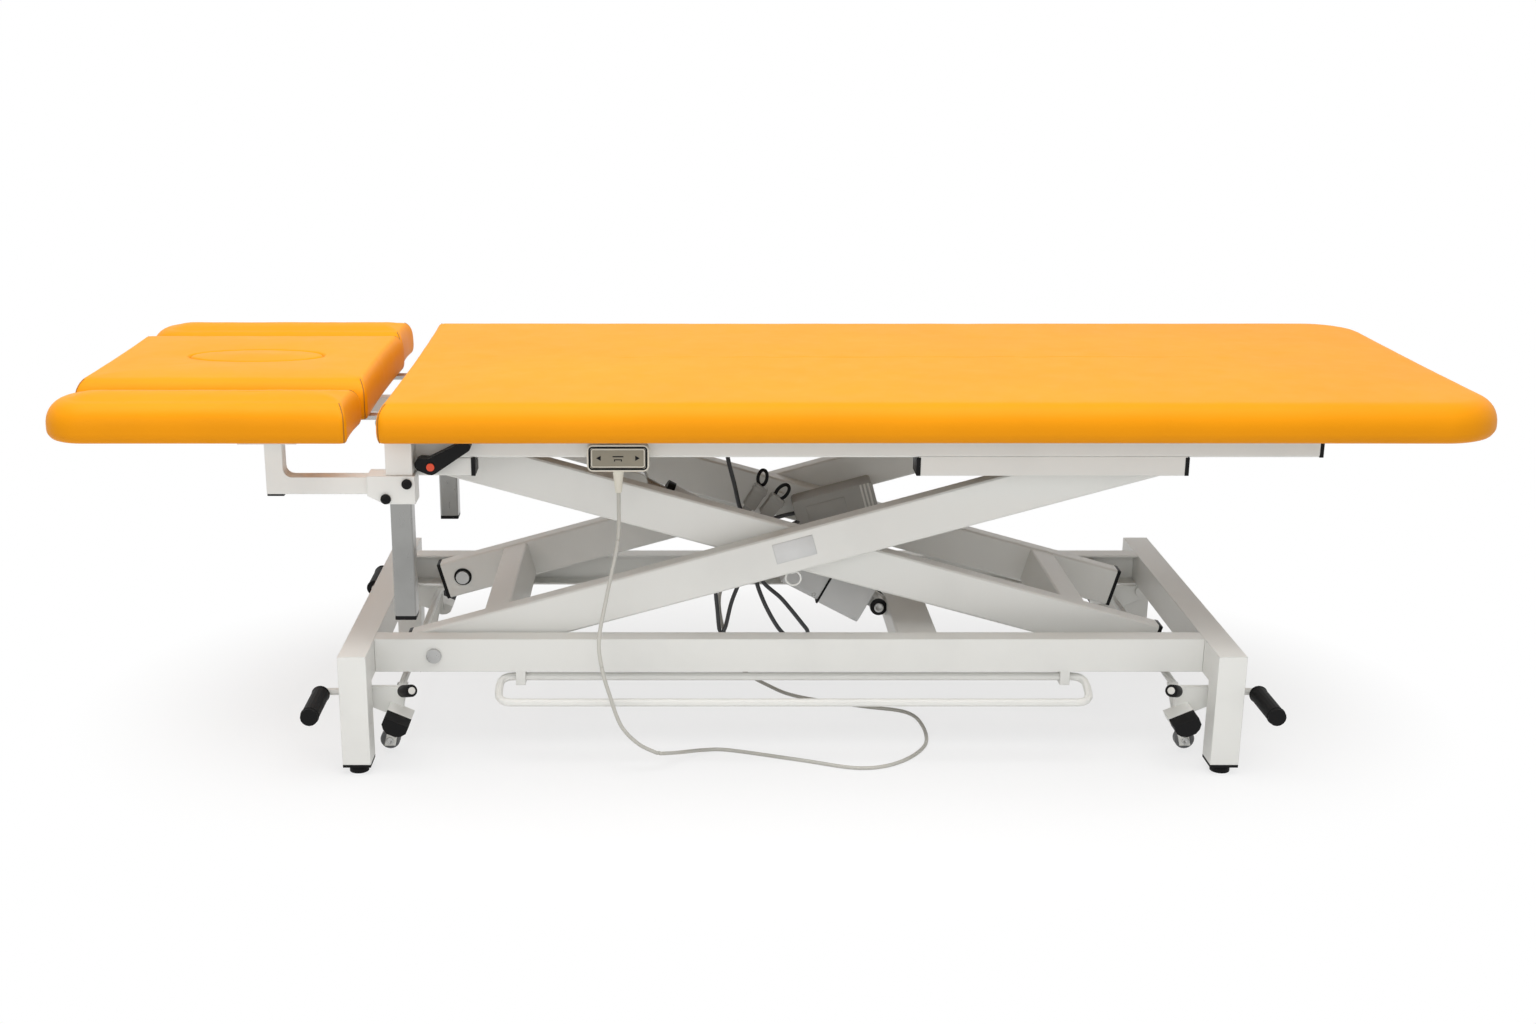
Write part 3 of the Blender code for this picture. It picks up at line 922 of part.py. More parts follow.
def make_handset(look):
    """Hand control hung on the front rail, its rocker plate, and its cord."""
    face = -HANDSET_FACE_Y
    back = -TOP_RAIL_Y - GAP
    x0, x1 = HANDSET_X - HANDSET_LENGTH / 2, HANDSET_X + HANDSET_LENGTH / 2
    z0, z1 = HANDSET_Z - HANDSET_HEIGHT / 2, HANDSET_Z + HANDSET_HEIGHT / 2
    rim = HANDSET_RIM
    middle = (face + back) / 2
    recess = box((x0 + rim, face - rim, z0 + rim), (x1 - rim, face + ROCKER_DEPTH, z1 - rim), HANDSET_ROUND - rim / 2, "Y", 3)
    boss = rod((HANDSET_X, middle, z0 + rim), (HANDSET_X, middle, z0 - RELIEF_LENGTH), RELIEF_R, CORD_R + RELIEF_WALL)
    case = combine(box((x0, face, z0), (x1, back, z1), HANDSET_ROUND, "Y", 3), add=[boss], cut=[recess])
    keep("handset_case", case, "top", look["ivory"])
    gap = ROCKER_GAP
    rocker = box((x0 + rim + gap, face + ROCKER_PROUD, z0 + rim + gap),
                 (x1 - rim - gap, face + ROCKER_DEPTH - ROCKER_SWING, z1 - rim - gap), HANDSET_ROUND - rim / 2 - gap, "Y", 3)
    rib = rod((HANDSET_X, face + ROCKER_DEPTH - GAP, z0 + 2 * rim), (HANDSET_X, face + ROCKER_DEPTH - GAP, z1 - 2 * rim), ROCKER_SWING)
    trim = box((x0, face + ROCKER_DEPTH - GAP, z0), (x1, back, z1))
    keep("handset_rocker", combine(rocker, add=[rib], cut=[trim]), "handset_rocker", look["key"])
    exit_z = z0 - RELIEF_LENGTH - GAP
    hanging = [(HANDSET_X, middle, exit_z), (HANDSET_X, middle, exit_z - 8 * CORD_R), *CORD_HANGING]
    keep("cord_hanging", tube_along(smooth_route(hanging, 26), CORD_R, 2), "top", look["cord"], 80)
    keep("cord_floor", tube_along(smooth_route(CORD_FLOOR, 52), CORD_R, 2), "base", look["cord"], 80)


def smooth_route(points, count):
    """Even points along a smooth curve through the route's own points."""
    points = [Vector(p) for p in points]
    ends = [2 * points[0] - points[1], *points, 2 * points[-1] - points[-2]]
    fine = []
    for a, b, c, d in zip(ends, ends[1:], ends[2:], ends[3:]):
        for k in range(20):
            t = k / 20
            fine.append(0.5 * (2 * b + (c - a) * t + (2 * a - 5 * b + 4 * c - d) * t ** 2
                               + (3 * b - a - 3 * c + d) * t ** 3))
    fine.append(points[-1])
    lengths = [0.0]
    for a, b in zip(fine, fine[1:]):
        lengths.append(lengths[-1] + (b - a).length)
    even, index = [], 0
    for k in range(count):
        want = lengths[-1] * k / (count - 1)
        while index < len(fine) - 2 and lengths[index + 1] < want:
            index += 1
        t = (want - lengths[index]) / (lengths[index + 1] - lengths[index])
        even.append(fine[index].lerp(fine[index + 1], t))
    return even


def make_castors(look):
    """At each end: a rocking lever with pedals and grips, and two castor wheels that it lowers."""
    for end, leg_x, inward in ENDS:
        x_in = leg_x + inward * LEVER_REACH_IN
        x_out = leg_x - inward * LEVER_REACH_OUT
        z = LEVER_PIVOT_Z
        tips = [(x_in + inward * SMALL_GRIP_IN, side * SMALL_GRIP_Y, z + SMALL_GRIP_RISE) for _, side in SIDES]
        pieces = [bent_bar([tips[0], (x_in, -LEVER_Y, z), (x_in, LEVER_Y, z), tips[1]], LEVER_ROD_R, 0.02)]
        holes = []
        for (name, side), tip in zip(SIDES, tips):
            y0, y1 = sorted((side * (LEVER_Y - LEVER_BAR / 2), side * (LEVER_Y + LEVER_BAR / 2)))
            tall = LEVER_BAR_HEIGHT / 2
            bar = [(leg_x - inward * tall * 2, z - tall), (leg_x - inward * tall * 2, z + tall), (x_in + inward * tall * 0.7, z + tall),
                   (x_in + inward * tall * 0.7, PEDAL_Z - tall / 2), (x_in - inward * tall, PEDAL_Z - tall / 2)]
            pieces.append(plate(bar, y0, y1))
            grip_end = side * (PAD_WIDTH / 2 - GAP)
            pieces.append(bent_bar([(leg_x - inward * tall * 1.5, side * LEVER_Y, z), (x_out, side * LEVER_Y, z),
                                    (x_out, grip_end - side * PIN_HEAD, z)], LEVER_ROD_R, 0.012))
            holes.append(rod((leg_x, 0.5 * y0 + 0.5 * y1 - LEVER_BAR, z), (leg_x, 0.5 * y0 + 0.5 * y1 + LEVER_BAR, z), LEVER_PIN_R + GAP))
            grip = combine(rod((x_out, side * (LEVER_Y + GRIP_START), z), (x_out, grip_end, z), GRIP_R),
                           cut=[rod((x_out, 0, z), (x_out, grip_end - side * (PIN_HEAD - GAP), z), LEVER_ROD_R + GAP)])
            start = Vector((x_in, side * LEVER_Y, z))
            along = (Vector(tip) - start).normalized()
            pieces.append(rod(start + along * GRIP_START * 2, Vector(tip) + along * PIN_HEAD, SMALL_GRIP_R))
            slope = Vector((inward * math.cos(PEDAL_TILT), -math.sin(PEDAL_TILT)))
            lift = Vector((inward * math.sin(PEDAL_TILT), math.cos(PEDAL_TILT)))
            corners = [Vector((x_in, PEDAL_Z)) + slope * a * PEDAL_LENGTH / 2 + lift * b * PEDAL_THICK / 2
                       for a, b in ((-1, 1), (-1, 0), (-0.75, -0.6), (-0.35, -1), (0.35, -1), (0.75, -0.6), (1, 0), (1, 1))]
            plate_end, shoe_end = side * (LEVER_Y + PEDAL_WIDTH), side * (BASE_WIDTH / 2 + PEDAL_PROUD)
            pieces.append(plate(corners, *sorted((side * LEVER_Y, plate_end))))
            keep(f"lever_grip_{end}_{name}", grip, "castor_lever_" + end, look["rubber"])
            keep(f"pedal_shoe_{end}_{name}", plate(corners, *sorted((plate_end + side * GAP, shoe_end))),
                 "castor_lever_" + end, look["rubber"])
            wheel_y = side * CASTOR_Y
            wheel_x = x_in - inward * CASTOR_TRAIL
            cheek_y = CASTOR_WIDTH / 2 + GAP
            for way in (-1, 1):
                ys = sorted((wheel_y + way * cheek_y, wheel_y + way * (cheek_y + CHEEK)))
                pieces.append(plate([(wheel_x - CHEEK_R, WHEEL_Z - CHEEK_R), (wheel_x + CHEEK_R, WHEEL_Z - CHEEK_R),
                                     (x_in + CHEEK_R, z), (x_in - CHEEK_R, z)], *ys))
            pieces.append(rod((wheel_x, wheel_y - cheek_y - CHEEK / 2, WHEEL_Z), (wheel_x, wheel_y + cheek_y + CHEEK / 2, WHEEL_Z), LEVER_PIN_R))
            y_faces = (wheel_y - CASTOR_WIDTH / 2, wheel_y + CASTOR_WIDTH / 2)
            wheel = turned([(0, CASTOR_R * 0.86), (CASTOR_R * 0.14, CASTOR_R), (CASTOR_WIDTH - CASTOR_R * 0.14, CASTOR_R),
                            (CASTOR_WIDTH, CASTOR_R * 0.86)], (wheel_x, y_faces[0], WHEEL_Z), (0, 1, 0), 24)
            bore = rod((wheel_x, y_faces[0] - CHEEK, WHEEL_Z), (wheel_x, y_faces[1] + CHEEK, WHEEL_Z), LEVER_PIN_R + GAP)
            keep(f"castor_wheel_{end}_{name}", combine(wheel, cut=[bore]), "castor_wheels_" + end, look["rubber"])
        keep("castor_lever_" + end, combine(pieces[0], add=pieces[1:], cut=holes), "castor_lever_" + end, look["paint"])


def make_foot_switch(look):
    """Bar along the front of the base that is pressed by foot to raise and lower the top."""
    rear = (-BAR_Y, BAR_Z)
    front = (-BAR_Y - BAR_DEPTH, BAR_Z - BAR_DROP)
    loop = [(BAR_HEAD_X, *rear), (BAR_FOOT_X, *rear), (BAR_FOOT_X, *front), (BAR_HEAD_X, *front)]
    keep("foot_bar", bent_bar(loop, BAR_R, 0.02, closed=True), "foot_switch", look["paint"], 50)


def make_control_box(look):
    """Control box on the inside of the rear inner arm, level with the outer arms."""
    y = INNER_ARM_IN - GAP - CONTROL_DEPTH / 2
    size = Vector((CONTROL_LENGTH, CONTROL_DEPTH, CONTROL_HEIGHT)) / 2
    block = box(-size, size, CONTROL_ROUND, "Y")
    block.transform(Matrix.Translation((CONTROL_X, y, CONTROL_Z)) @ Matrix.Rotation(-ARM_ANGLE, 4, "Y"))
    keep("control_box", block, "inner_frame", look["grey"])


def main():
    """Build the whole table."""
    for item in list(bpy.data.objects):
        bpy.data.objects.remove(item)
    look = make_materials()
    make_bodies()
    for make in (make_base, make_lift, make_actuator, make_top_frame, make_pads, make_head_hinge, make_armrests,
                 make_clamp_lever, make_handset, make_castors, make_foot_switch, make_control_box):
        make(look)


main()
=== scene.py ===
"""Looks for the electric treatment table: upholstery, paint, small fittings, cords and a studio."""

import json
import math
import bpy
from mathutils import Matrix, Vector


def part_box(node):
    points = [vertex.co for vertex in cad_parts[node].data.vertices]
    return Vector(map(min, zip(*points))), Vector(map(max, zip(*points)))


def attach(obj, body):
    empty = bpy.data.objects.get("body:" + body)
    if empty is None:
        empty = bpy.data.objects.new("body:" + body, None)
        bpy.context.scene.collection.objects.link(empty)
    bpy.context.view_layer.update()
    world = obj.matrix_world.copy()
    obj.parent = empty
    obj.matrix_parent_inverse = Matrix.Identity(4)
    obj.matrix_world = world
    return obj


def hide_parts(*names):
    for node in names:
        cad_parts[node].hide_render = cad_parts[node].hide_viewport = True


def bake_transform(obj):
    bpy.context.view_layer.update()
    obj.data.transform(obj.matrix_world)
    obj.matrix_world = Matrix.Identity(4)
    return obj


bl_info = {
    "name": "Treatment Table Looks",
    "version": (1, 0, 0),
    "blender": (4, 5, 0),
    "location": "View3D > Sidebar > Table",
    "description": "Upholsters and finishes an electric treatment table",
    "category": "Object",
}

import bmesh
import bpy
from mathutils import Matrix, Vector, noise

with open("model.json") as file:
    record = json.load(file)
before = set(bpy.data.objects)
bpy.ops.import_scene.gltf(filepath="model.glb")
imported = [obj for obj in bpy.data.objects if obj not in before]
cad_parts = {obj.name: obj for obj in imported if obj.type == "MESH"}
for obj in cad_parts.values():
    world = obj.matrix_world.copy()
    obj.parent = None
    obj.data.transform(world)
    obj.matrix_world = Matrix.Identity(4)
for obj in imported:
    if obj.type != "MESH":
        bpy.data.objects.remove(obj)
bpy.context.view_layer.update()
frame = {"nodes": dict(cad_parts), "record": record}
NODES = frame["nodes"]

# The photograph's camera
IMAGE_WIDTH = 1536
FOCAL_PIXELS = 1820.0
AXIS_PIXEL = 680.0
SENSOR_MM = 36.0
CAMERA_PLACE = (-0.1282, -2.6934, 1.0867)
CAMERA_PITCH = 16.1              # degrees below level

# The studio; a lamp has a place, a point that it faces, two sides and a power
FLOOR_SIZE = 24
FADE = (0.74, 0.50)              # half axes of the floor area that shows its own shading
FADE_RATE = 2.2
FLOOR_GLOW = 0.72                # how much of that area is plain white
SKY_LIGHT = 0.53
SEEN_RAYS = ("Is Camera Ray", "Is Glossy Ray", "Is Transmission Ray")
WHITE = (1, 1, 1, 1)
LAMPS = (("overhead", (-0.2, -0.5, 2.9), (0, 0.1, 0), 3.6, 2.4, 90.0),
         ("front_fill", (-0.9, -3.6, 1.5), (0, 0, 0.30), 3.0, 1.6, 21.0))

SLOTS = {part["material_slot"] for part in frame["record"]["subparts"]}
FRONT, REAR = -1, 1
SIDES = (("front", FRONT), ("rear", REAR))

# Places that the solids share
TILT = math.radians(15.6)
LIFT_PIVOT = Vector((-0.485, 0.0, 0.155))
ARM_PITCH = 1.07
ARM_OVERHANG = 0.033
ARM_SIZE = Vector((0.030, 0.060))
OUTER_ARM_Y, INNER_ARM_Y = 0.167, 0.133
TOP_PIVOT_Z = LIFT_PIVOT.z + ARM_PITCH * math.sin(TILT)
ALONG = Vector((math.cos(TILT), 0, math.sin(TILT)))
DOWN = Vector((math.cos(TILT), 0, -math.sin(TILT)))

# Rounding and shading of small pieces
SOFT_ANGLE = math.radians(30)
SMOOTH_ANGLE = math.radians(35)
KEY_WIDTH, KEY_DEPTH = 0.55, 0.6     # a screw's recess, as shares of the head
CURVE_STEPS = 20                 # parts of a curve between two of its given points


def length(name, description, default, low, high):
    """A length that a user may change."""
    return bpy.props.FloatProperty(name=name, description=description, default=default, min=low, max=high,
                                   unit="LENGTH")


def colour(name, description, default):
    """A colour that a user may change."""
    return bpy.props.FloatVectorProperty(name=name, description=description, default=default, min=0, max=1,
                                         subtype="COLOR", size=3)


class TableSizes(bpy.types.PropertyGroup):
    """Sizes a user may change."""

    crown: length("Crown", "Rise of a pad's top at its middle", 0.003, 0, 0.02)
    drawn_in: length("Drawn in", "How far a pad's sides pull in between its corners", 0.004, 0, 0.02)
    edge_round: length("Edge rounding", "Roundness of a pad's long edges", 0.034, 0.005, 0.05)
    crease: length("Creases", "Depth of the soft creases in the covers", 0.0007, 0, 0.004)
    seam: length("Seam", "Half width of a sewn corner seam", 0.0009, 0.0003, 0.003)
    cord: length("Cord", "Diameter of the hand control's cord", 0.0056, 0.003, 0.01)
    edge_wear: length("Soft edge", "Radius that the paint gives to a sharp edge", 0.0016, 0, 0.005)


class TableColours(bpy.types.PropertyGroup):
    """Colours a user may change."""

    vinyl: colour("Vinyl", "Upholstery", (0.800, 0.292, 0.001))
    paint: colour("Paint", "Powder coat of the frame", (0.790, 0.790, 0.757))
    black: colour("Black", "Plastic and rubber fittings", (0.0050, 0.0050, 0.0053))
    ivory: colour("Ivory", "Hand control", (0.740, 0.715, 0.620))
    cord: colour("Cord", "Cord of the hand control", (0.520, 0.510, 0.465))
    floor: colour("Floor", "Studio floor", (0.80, 0.80, 0.80))


class Term:
    """A shader socket that takes Python's own operators."""

    def __init__(self, finish, socket):
        self.finish = finish
        self.socket = socket

    def maths(self, operation, first, second=None):
        values = [first] if second is None else [first, second]
        return self.finish.node("ShaderNodeMath", {"operation": operation}, dict(enumerate(values)))

    def __add__(self, other):
        return self.maths("ADD", self, other)

    def __radd__(self, other):
        return self.maths("ADD", other, self)

    def __sub__(self, other):
        return self.maths("SUBTRACT", self, other)

    def __rsub__(self, other):
        return self.maths("SUBTRACT", other, self)

    def __mul__(self, other):
        return self.maths("MULTIPLY", self, other)

    def __rmul__(self, other):
        return self.maths("MULTIPLY", other, self)

    def __truediv__(self, other):
        return self.maths("DIVIDE", self, other)

    def __pow__(self, other):
        return self.maths("POWER", self, other)

    def clamped(self):
        return self.finish.node("ShaderNodeClamp", {}, {0: self})


class Finish:
    """One material, built from expressions."""

    def __init__(self, name, colour, roughness, metallic=0.0, **more):
        self.material = bpy.data.materials.new("finish_" + name)
        self.material.use_nodes = True
        self.material.diffuse_color = (*colour, 1)
        self.tree = self.material.node_tree
        self.shader = self.tree.nodes["Principled BSDF"]
        self.colour = tuple(colour)
        self.give("Base Color", (*colour, 1))
        self.give("Roughness", roughness)
        self.give("Metallic", metallic)
        for socket, value in more.items():
            self.give(socket.replace("_", " "), value)

    def give(self, socket, value):
        self.put(self.shader.inputs[socket], value)

    def put(self, socket, value):
        if isinstance(value, Term):
            self.tree.links.new(value.socket, socket)
        else:
            socket.default_value = value

    def node(self, kind, settings, sockets, out=0):
        made = self.tree.nodes.new(kind)
        for key, value in settings.items():
            if key == "stops":
                self.stops(made.color_ramp, value)
            else:
                setattr(made, key, value)
        for key, value in sockets.items():
            self.put(made.inputs[key], value)
        return Term(self, made.outputs[out])

    def stops(self, ramp, stops):
        while len(ramp.elements) < len(stops):
            ramp.elements.new(0.5)
        for element, (place, value) in zip(ramp.elements, stops):
            element.position = place
            element.color = (value, value, value, 1) if isinstance(value, float) else (*value, 1)

    def place(self):
        return self.node("ShaderNodeTexCoord", {}, {}, "Object")

    def part(self, vector, axis):
        return self.node("ShaderNodeSeparateXYZ", {}, {0: vector}, axis)

    def stretched(self, scale):
        return self.node("ShaderNodeMapping", {}, {"Vector": self.place(), "Scale": scale})

    def cloudy(self, scale, detail=3.0, vector=None):
        sockets = {"Vector": vector or self.place(), "Scale": scale, "Detail": detail}
        return self.node("ShaderNodeTexNoise", {}, sockets)

    def cells(self, scale):
        return self.node("ShaderNodeTexVoronoi", {"feature": "F1"}, {"Vector": self.place(), "Scale": scale})

    def ramp(self, factor, stops):
        return self.node("ShaderNodeValToRGB", {"stops": stops}, {0: factor})

    def blend(self, factor, first, second):
        def full(value):
            return value if isinstance(value, Term) else (*value, 1)
        sockets = {0: factor, 6: full(first), 7: full(second)}
        return self.node("ShaderNodeMix", {"data_type": "RGBA"}, sockets, 2)

    def shade(self, amount):
        return tuple(min(1.0, c * amount) for c in self.colour)

    def bump(self, height, strength, distance, normal=None):
        sockets = {"Height": height, "Strength": strength, "Distance": distance}
        if normal:
            sockets["Normal"] = normal
        return self.node("ShaderNodeBump", {}, sockets)

    def soft_edges(self, radius):
        return self.node("ShaderNodeBevel", {"samples": 6}, {"Radius": radius})


def settings():
    """The sizes and the colours in use."""
    return bpy.context.scene.table_sizes, bpy.context.scene.table_colours


def vinyl_look(colours):
    """Smooth leathercloth: a fine pebble grain, soft colour clouds and a slight sheen."""
    look = Finish("vinyl", colours.vinyl, 0.46, Specular_IOR_Level=0.12)
    cloud = look.ramp(look.cloudy(5.5, 4.0), [(0.3, 0.0), (0.7, 1.0)])
    look.give("Base Color", look.blend(cloud, look.shade(0.965), look.shade(1.02)))
    look.give("Roughness", 0.42 + look.cloudy(28.0, 2.0) * 0.10)
    grain = look.cells(820.0) * 0.7 + look.cloudy(460.0, 2.0) * 0.6
    look.give("Normal", look.bump(grain, 0.10, 0.0006))


def paint_look(colours, wear):
    """Powder coat: soft orange peel, rounded edges and a little grey where hands and feet go."""
    look = Finish("paint", colours.paint, 0.38, Specular_IOR_Level=0.45)
    smudge = look.ramp(look.cloudy(7.0, 6.0), [(0.52, 0.0), (0.80, 1.0)])
    low = ((0.20 - look.part(look.place(), 2)) * 2.2).clamped()
    worn = (smudge * 0.35 + smudge * low * 0.5).clamped()
    look.give("Base Color", look.blend(worn, look.shade(1.0), look.shade(0.82)))
    look.give("Roughness", 0.34 + look.cloudy(60.0, 3.0) * 0.12)
    look.give("Normal", look.bump(look.cloudy(520.0, 1.0), 0.10, 0.0003, look.soft_edges(wear)))


def plain_look(name, colour, roughness, metallic=0.0, grain=300.0, depth=0.08, edge=0.0006, **more):
    """A moulded, cast or rolled surface with a little unevenness."""
    look = Finish(name, colour, roughness, metallic, **more)
    speck = look.cloudy(grain, 3.0)
    look.give("Base Color", look.blend(look.cloudy(22.0, 4.0), look.shade(0.9), look.shade(1.08)))
    look.give("Roughness", (roughness - 0.05) + speck * 0.10)
    look.give("Normal", look.bump(speck, depth, 0.0004, look.soft_edges(edge)))


def brushed_look(name, colour, roughness, scale, edge=0.0006):
    """Metal with fine marks drawn along one axis."""
    look = Finish(name, colour, roughness, 1.0)
    marks = look.cloudy(1.0, 4.0, look.stretched(scale))
    stain = look.ramp(look.cloudy(16.0, 5.0), [(0.45, 0.0), (0.75, 1.0)])
    look.give("Base Color", look.blend(stain * 0.5, look.shade(1.0), look.shade(0.72)))
    look.give("Roughness", (roughness - 0.08) + marks * 0.16)
    look.give("Normal", look.bump(marks, 0.06, 0.0003, look.soft_edges(edge)))


def make_looks():
    """All finishes; one whose name is a material slot goes on that slot's solids."""
    sizes, colours = settings()
    vinyl_look(colours)
    paint_look(colours, sizes.edge_wear)
    plain_look("seam", [value * 0.42 for value in colours.vinyl], 0.6, grain=700.0, edge=0.0)
    plain_look("wood", (0.30, 0.19, 0.10), 0.65, grain=180.0, depth=0.25)
    plain_look("black", colours.black, 0.42, Specular_IOR_Level=0.16)
    plain_look("rubber", colours.black, 0.62, grain=420.0, depth=0.16, Specular_IOR_Level=0.16)
    plain_look("wheel", (0.115, 0.118, 0.122), 0.50)
    plain_look("grey", (0.36, 0.350, 0.325), 0.46)
    plain_look("alloy", (0.68, 0.685, 0.68), 0.44, grain=240.0, depth=0.14, edge=0.0020)
    plain_look("nylon", (0.62, 0.61, 0.57), 0.40)
    plain_look("ivory", colours.ivory, 0.36, edge=0.0010)
    plain_look("key", (0.285, 0.262, 0.200), 0.45)
    plain_look("red", (0.78, 0.075, 0.020), 0.30, edge=0.0004)
    plain_look("cord", colours.cord, 0.44, grain=700.0, depth=0.10, edge=0.0)
    plain_look("cable", (0.055, 0.056, 0.060), 0.44, grain=700.0, depth=0.10, edge=0.0)
    brushed_look("chrome", (0.33, 0.33, 0.32), 0.30, (260.0, 260.0, 30.0))
    brushed_look("steel", (0.50, 0.50, 0.49), 0.30, (180.0, 180.0, 180.0))


def alone(obj):
    """Selects one object and makes it active."""
    bpy.ops.object.select_all(action="DESELECT")
    obj.select_set(True)
    bpy.context.view_layer.objects.active = obj
    return obj


def applied(obj, kind, **values):
    """Adds a modifier, sets it and applies it."""
    alone(obj)
    bpy.ops.object.modifier_add(type=kind)
    modifier = obj.modifiers[-1]
    for key, value in values.items():
        setattr(modifier, key, value)
    bpy.ops.object.modifier_apply(modifier=modifier.name)
    return obj


def softened(obj, width):
    """Rounds the sharp edges of an object."""
    if width > 0:
        applied(obj, "BEVEL", width=width, segments=2, limit_method="ANGLE", angle_limit=SOFT_ANGLE)
    return obj


def block(centre, size, tilt=0.0, edge=0.0008):
    """A box about its middle; a positive tilt lifts its +X end."""
    bpy.ops.object.select_all(action="DESELECT")
    bpy.ops.mesh.primitive_cube_add(size=1, location=centre, rotation=(0, -tilt, 0))
    obj = bpy.context.object
    obj.scale = size
    bpy.ops.object.transform_apply(location=True, rotation=True, scale=True)
    return softened(obj, edge)


def peg(start, end, radius, sides=28, edge=0.0005):
    """A round bar between two points."""
    start, end = Vector(start), Vector(end)
    bpy.ops.object.select_all(action="DESELECT")
    bpy.ops.mesh.primitive_cylinder_add(vertices=sides, radius=radius, depth=(end - start).length,
                                        location=(start + end) / 2,
                                        rotation=(end - start).to_track_quat("Z", "Y").to_euler())
    obj = bpy.context.object
    bpy.ops.object.transform_apply(location=True, rotation=True, scale=True)
    return softened(obj, edge)


def hoop(centre, direction, radius, thick):
    """A torus round an axis."""
    turn = Vector(direction).to_track_quat("Z", "Y").to_euler()
    bpy.ops.object.select_all(action="DESELECT")
    bpy.ops.mesh.primitive_torus_add(location=centre, rotation=turn, major_radius=radius, minor_radius=thick,
                                     major_segments=32, minor_segments=12)
    bpy.ops.object.transform_apply(location=True, rotation=True, scale=True)
    return bpy.context.object


def socket_screw(centre, direction, radius, height):
    """A cap screw: a round head with a six-sided recess pushed into it."""
    centre, direction = Vector(centre), Vector(direction).normalized()
    obj = peg(centre, centre + direction * height, radius, 24, 0)
    alone(obj)
    bpy.ops.object.mode_set(mode="EDIT")
    bpy.ops.mesh.select_all(action="DESELECT")
    shape = bmesh.from_edit_mesh(obj.data)
    for face in shape.faces:
        face.select_set((face.calc_center_median() - centre).dot(direction) > height * 0.9)
    bmesh.update_edit_mesh(obj.data)
    bpy.ops.mesh.inset(thickness=radius * (1 - KEY_WIDTH))
    bpy.ops.mesh.extrude_region_move(TRANSFORM_OT_translate={"value": -direction * height * KEY_DEPTH})
    bpy.ops.object.mode_set(mode="OBJECT")
    return softened(obj, radius * 0.08)


def together(pieces, name, look, body):
    """Joins pieces into one object with a finish, which moves with a body."""
    alone(pieces[0])
    for obj in pieces:
        obj.select_set(True)
    if len(pieces) > 1:
        bpy.ops.object.join()
    obj = bpy.context.object
    obj.name = name
    obj.data.name = name
    bpy.ops.object.shade_smooth_by_angle(angle=SMOOTH_ANGLE)
    dress(obj, look)
    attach(obj, body)
    return obj


def dress(obj, look):
    """Gives an object one finish."""
    obj.data.materials.clear()
    obj.data.materials.append(bpy.data.materials["finish_" + look])
    look in SLOTS


def mesh_piece(name, points, faces, look):
    """An object from mesh data."""
    mesh = bpy.data.meshes.new(name)
    mesh.from_pydata(points, [], faces)
    shape = bmesh.new()
    shape.from_mesh(mesh)
    bmesh.ops.recalc_face_normals(shape, faces=shape.faces)
    shape.to_mesh(mesh)
    shape.free()
    mesh.shade_smooth()
    obj = bpy.data.objects.new(name, mesh)
    bpy.context.scene.collection.objects.link(obj)
    dress(obj, look)
    return obj


def route(points, count):
    """Even points along a smooth curve through the given ones."""
    points = [Vector(p) for p in points]
    ends = [2 * points[0] - points[1], *points, 2 * points[-1] - points[-2]]
    fine = []
    for a, b, c, d in zip(ends, ends[1:], ends[2:], ends[3:]):
        bow = 2 * a - 5 * b + 4 * c - d
        twist = 3 * b - a - 3 * c + d
        for t in (k / CURVE_STEPS for k in range(CURVE_STEPS)):
            fine.append(0.5 * (2 * b + (c - a) * t + bow * t ** 2 + twist * t ** 3))
    fine.append(points[-1])
    lengths = [0.0]
    for a, b in zip(fine, fine[1:]):
        lengths.append(lengths[-1] + (b - a).length)
    even, index = [], 0
    for k in range(count):
        want = lengths[-1] * k / (count - 1)
        while index < len(fine) - 2 and lengths[index + 1] < want:
            index += 1
        share = (want - lengths[index]) / (lengths[index + 1] - lengths[index])
        even.append(fine[index].lerp(fine[index + 1], share))
    return even


def turns(step, first, last):
    """Angles in even steps of some degrees, from a first to a last step."""
    return [math.radians(step * k) for k in range(first, last + 1)]


def band(low, high, count):
    """Faces between two rings of points, given the number of each ring's first point."""
    return [(low + j, low + (j + 1) % count, high + (j + 1) % count, high + j) for j in range(count)]


def hose(name, lines, radius, look, sides=12):
    """Tubes along lines, with flat ends."""
    points, faces = [], []
    for line in lines:
        first, side = len(points), None
        for k, place in enumerate(line):
            ahead = (line[min(k + 1, len(line) - 1)] - line[max(k - 1, 0)]).normalized()
            if side is None:
                side = ahead.orthogonal().normalized()
            side = (side - ahead * side.dot(ahead)).normalized()
            other = ahead.cross(side)
            points += [place + (side * math.cos(a) + other * math.sin(a)) * radius
                       for a in (2 * math.pi * j / sides for j in range(sides))]
        for k in range(len(line) - 1):
            low = first + k * sides
            faces += band(low, low + sides, sides)
        faces += [tuple(range(first, first + sides)), tuple(range(len(points) - sides, len(points)))]
    return mesh_piece(name, points, faces, look)


def length_of(line):
    """Length of a line of points."""
    return sum((b - a).length for a, b in zip(line, line[1:]))


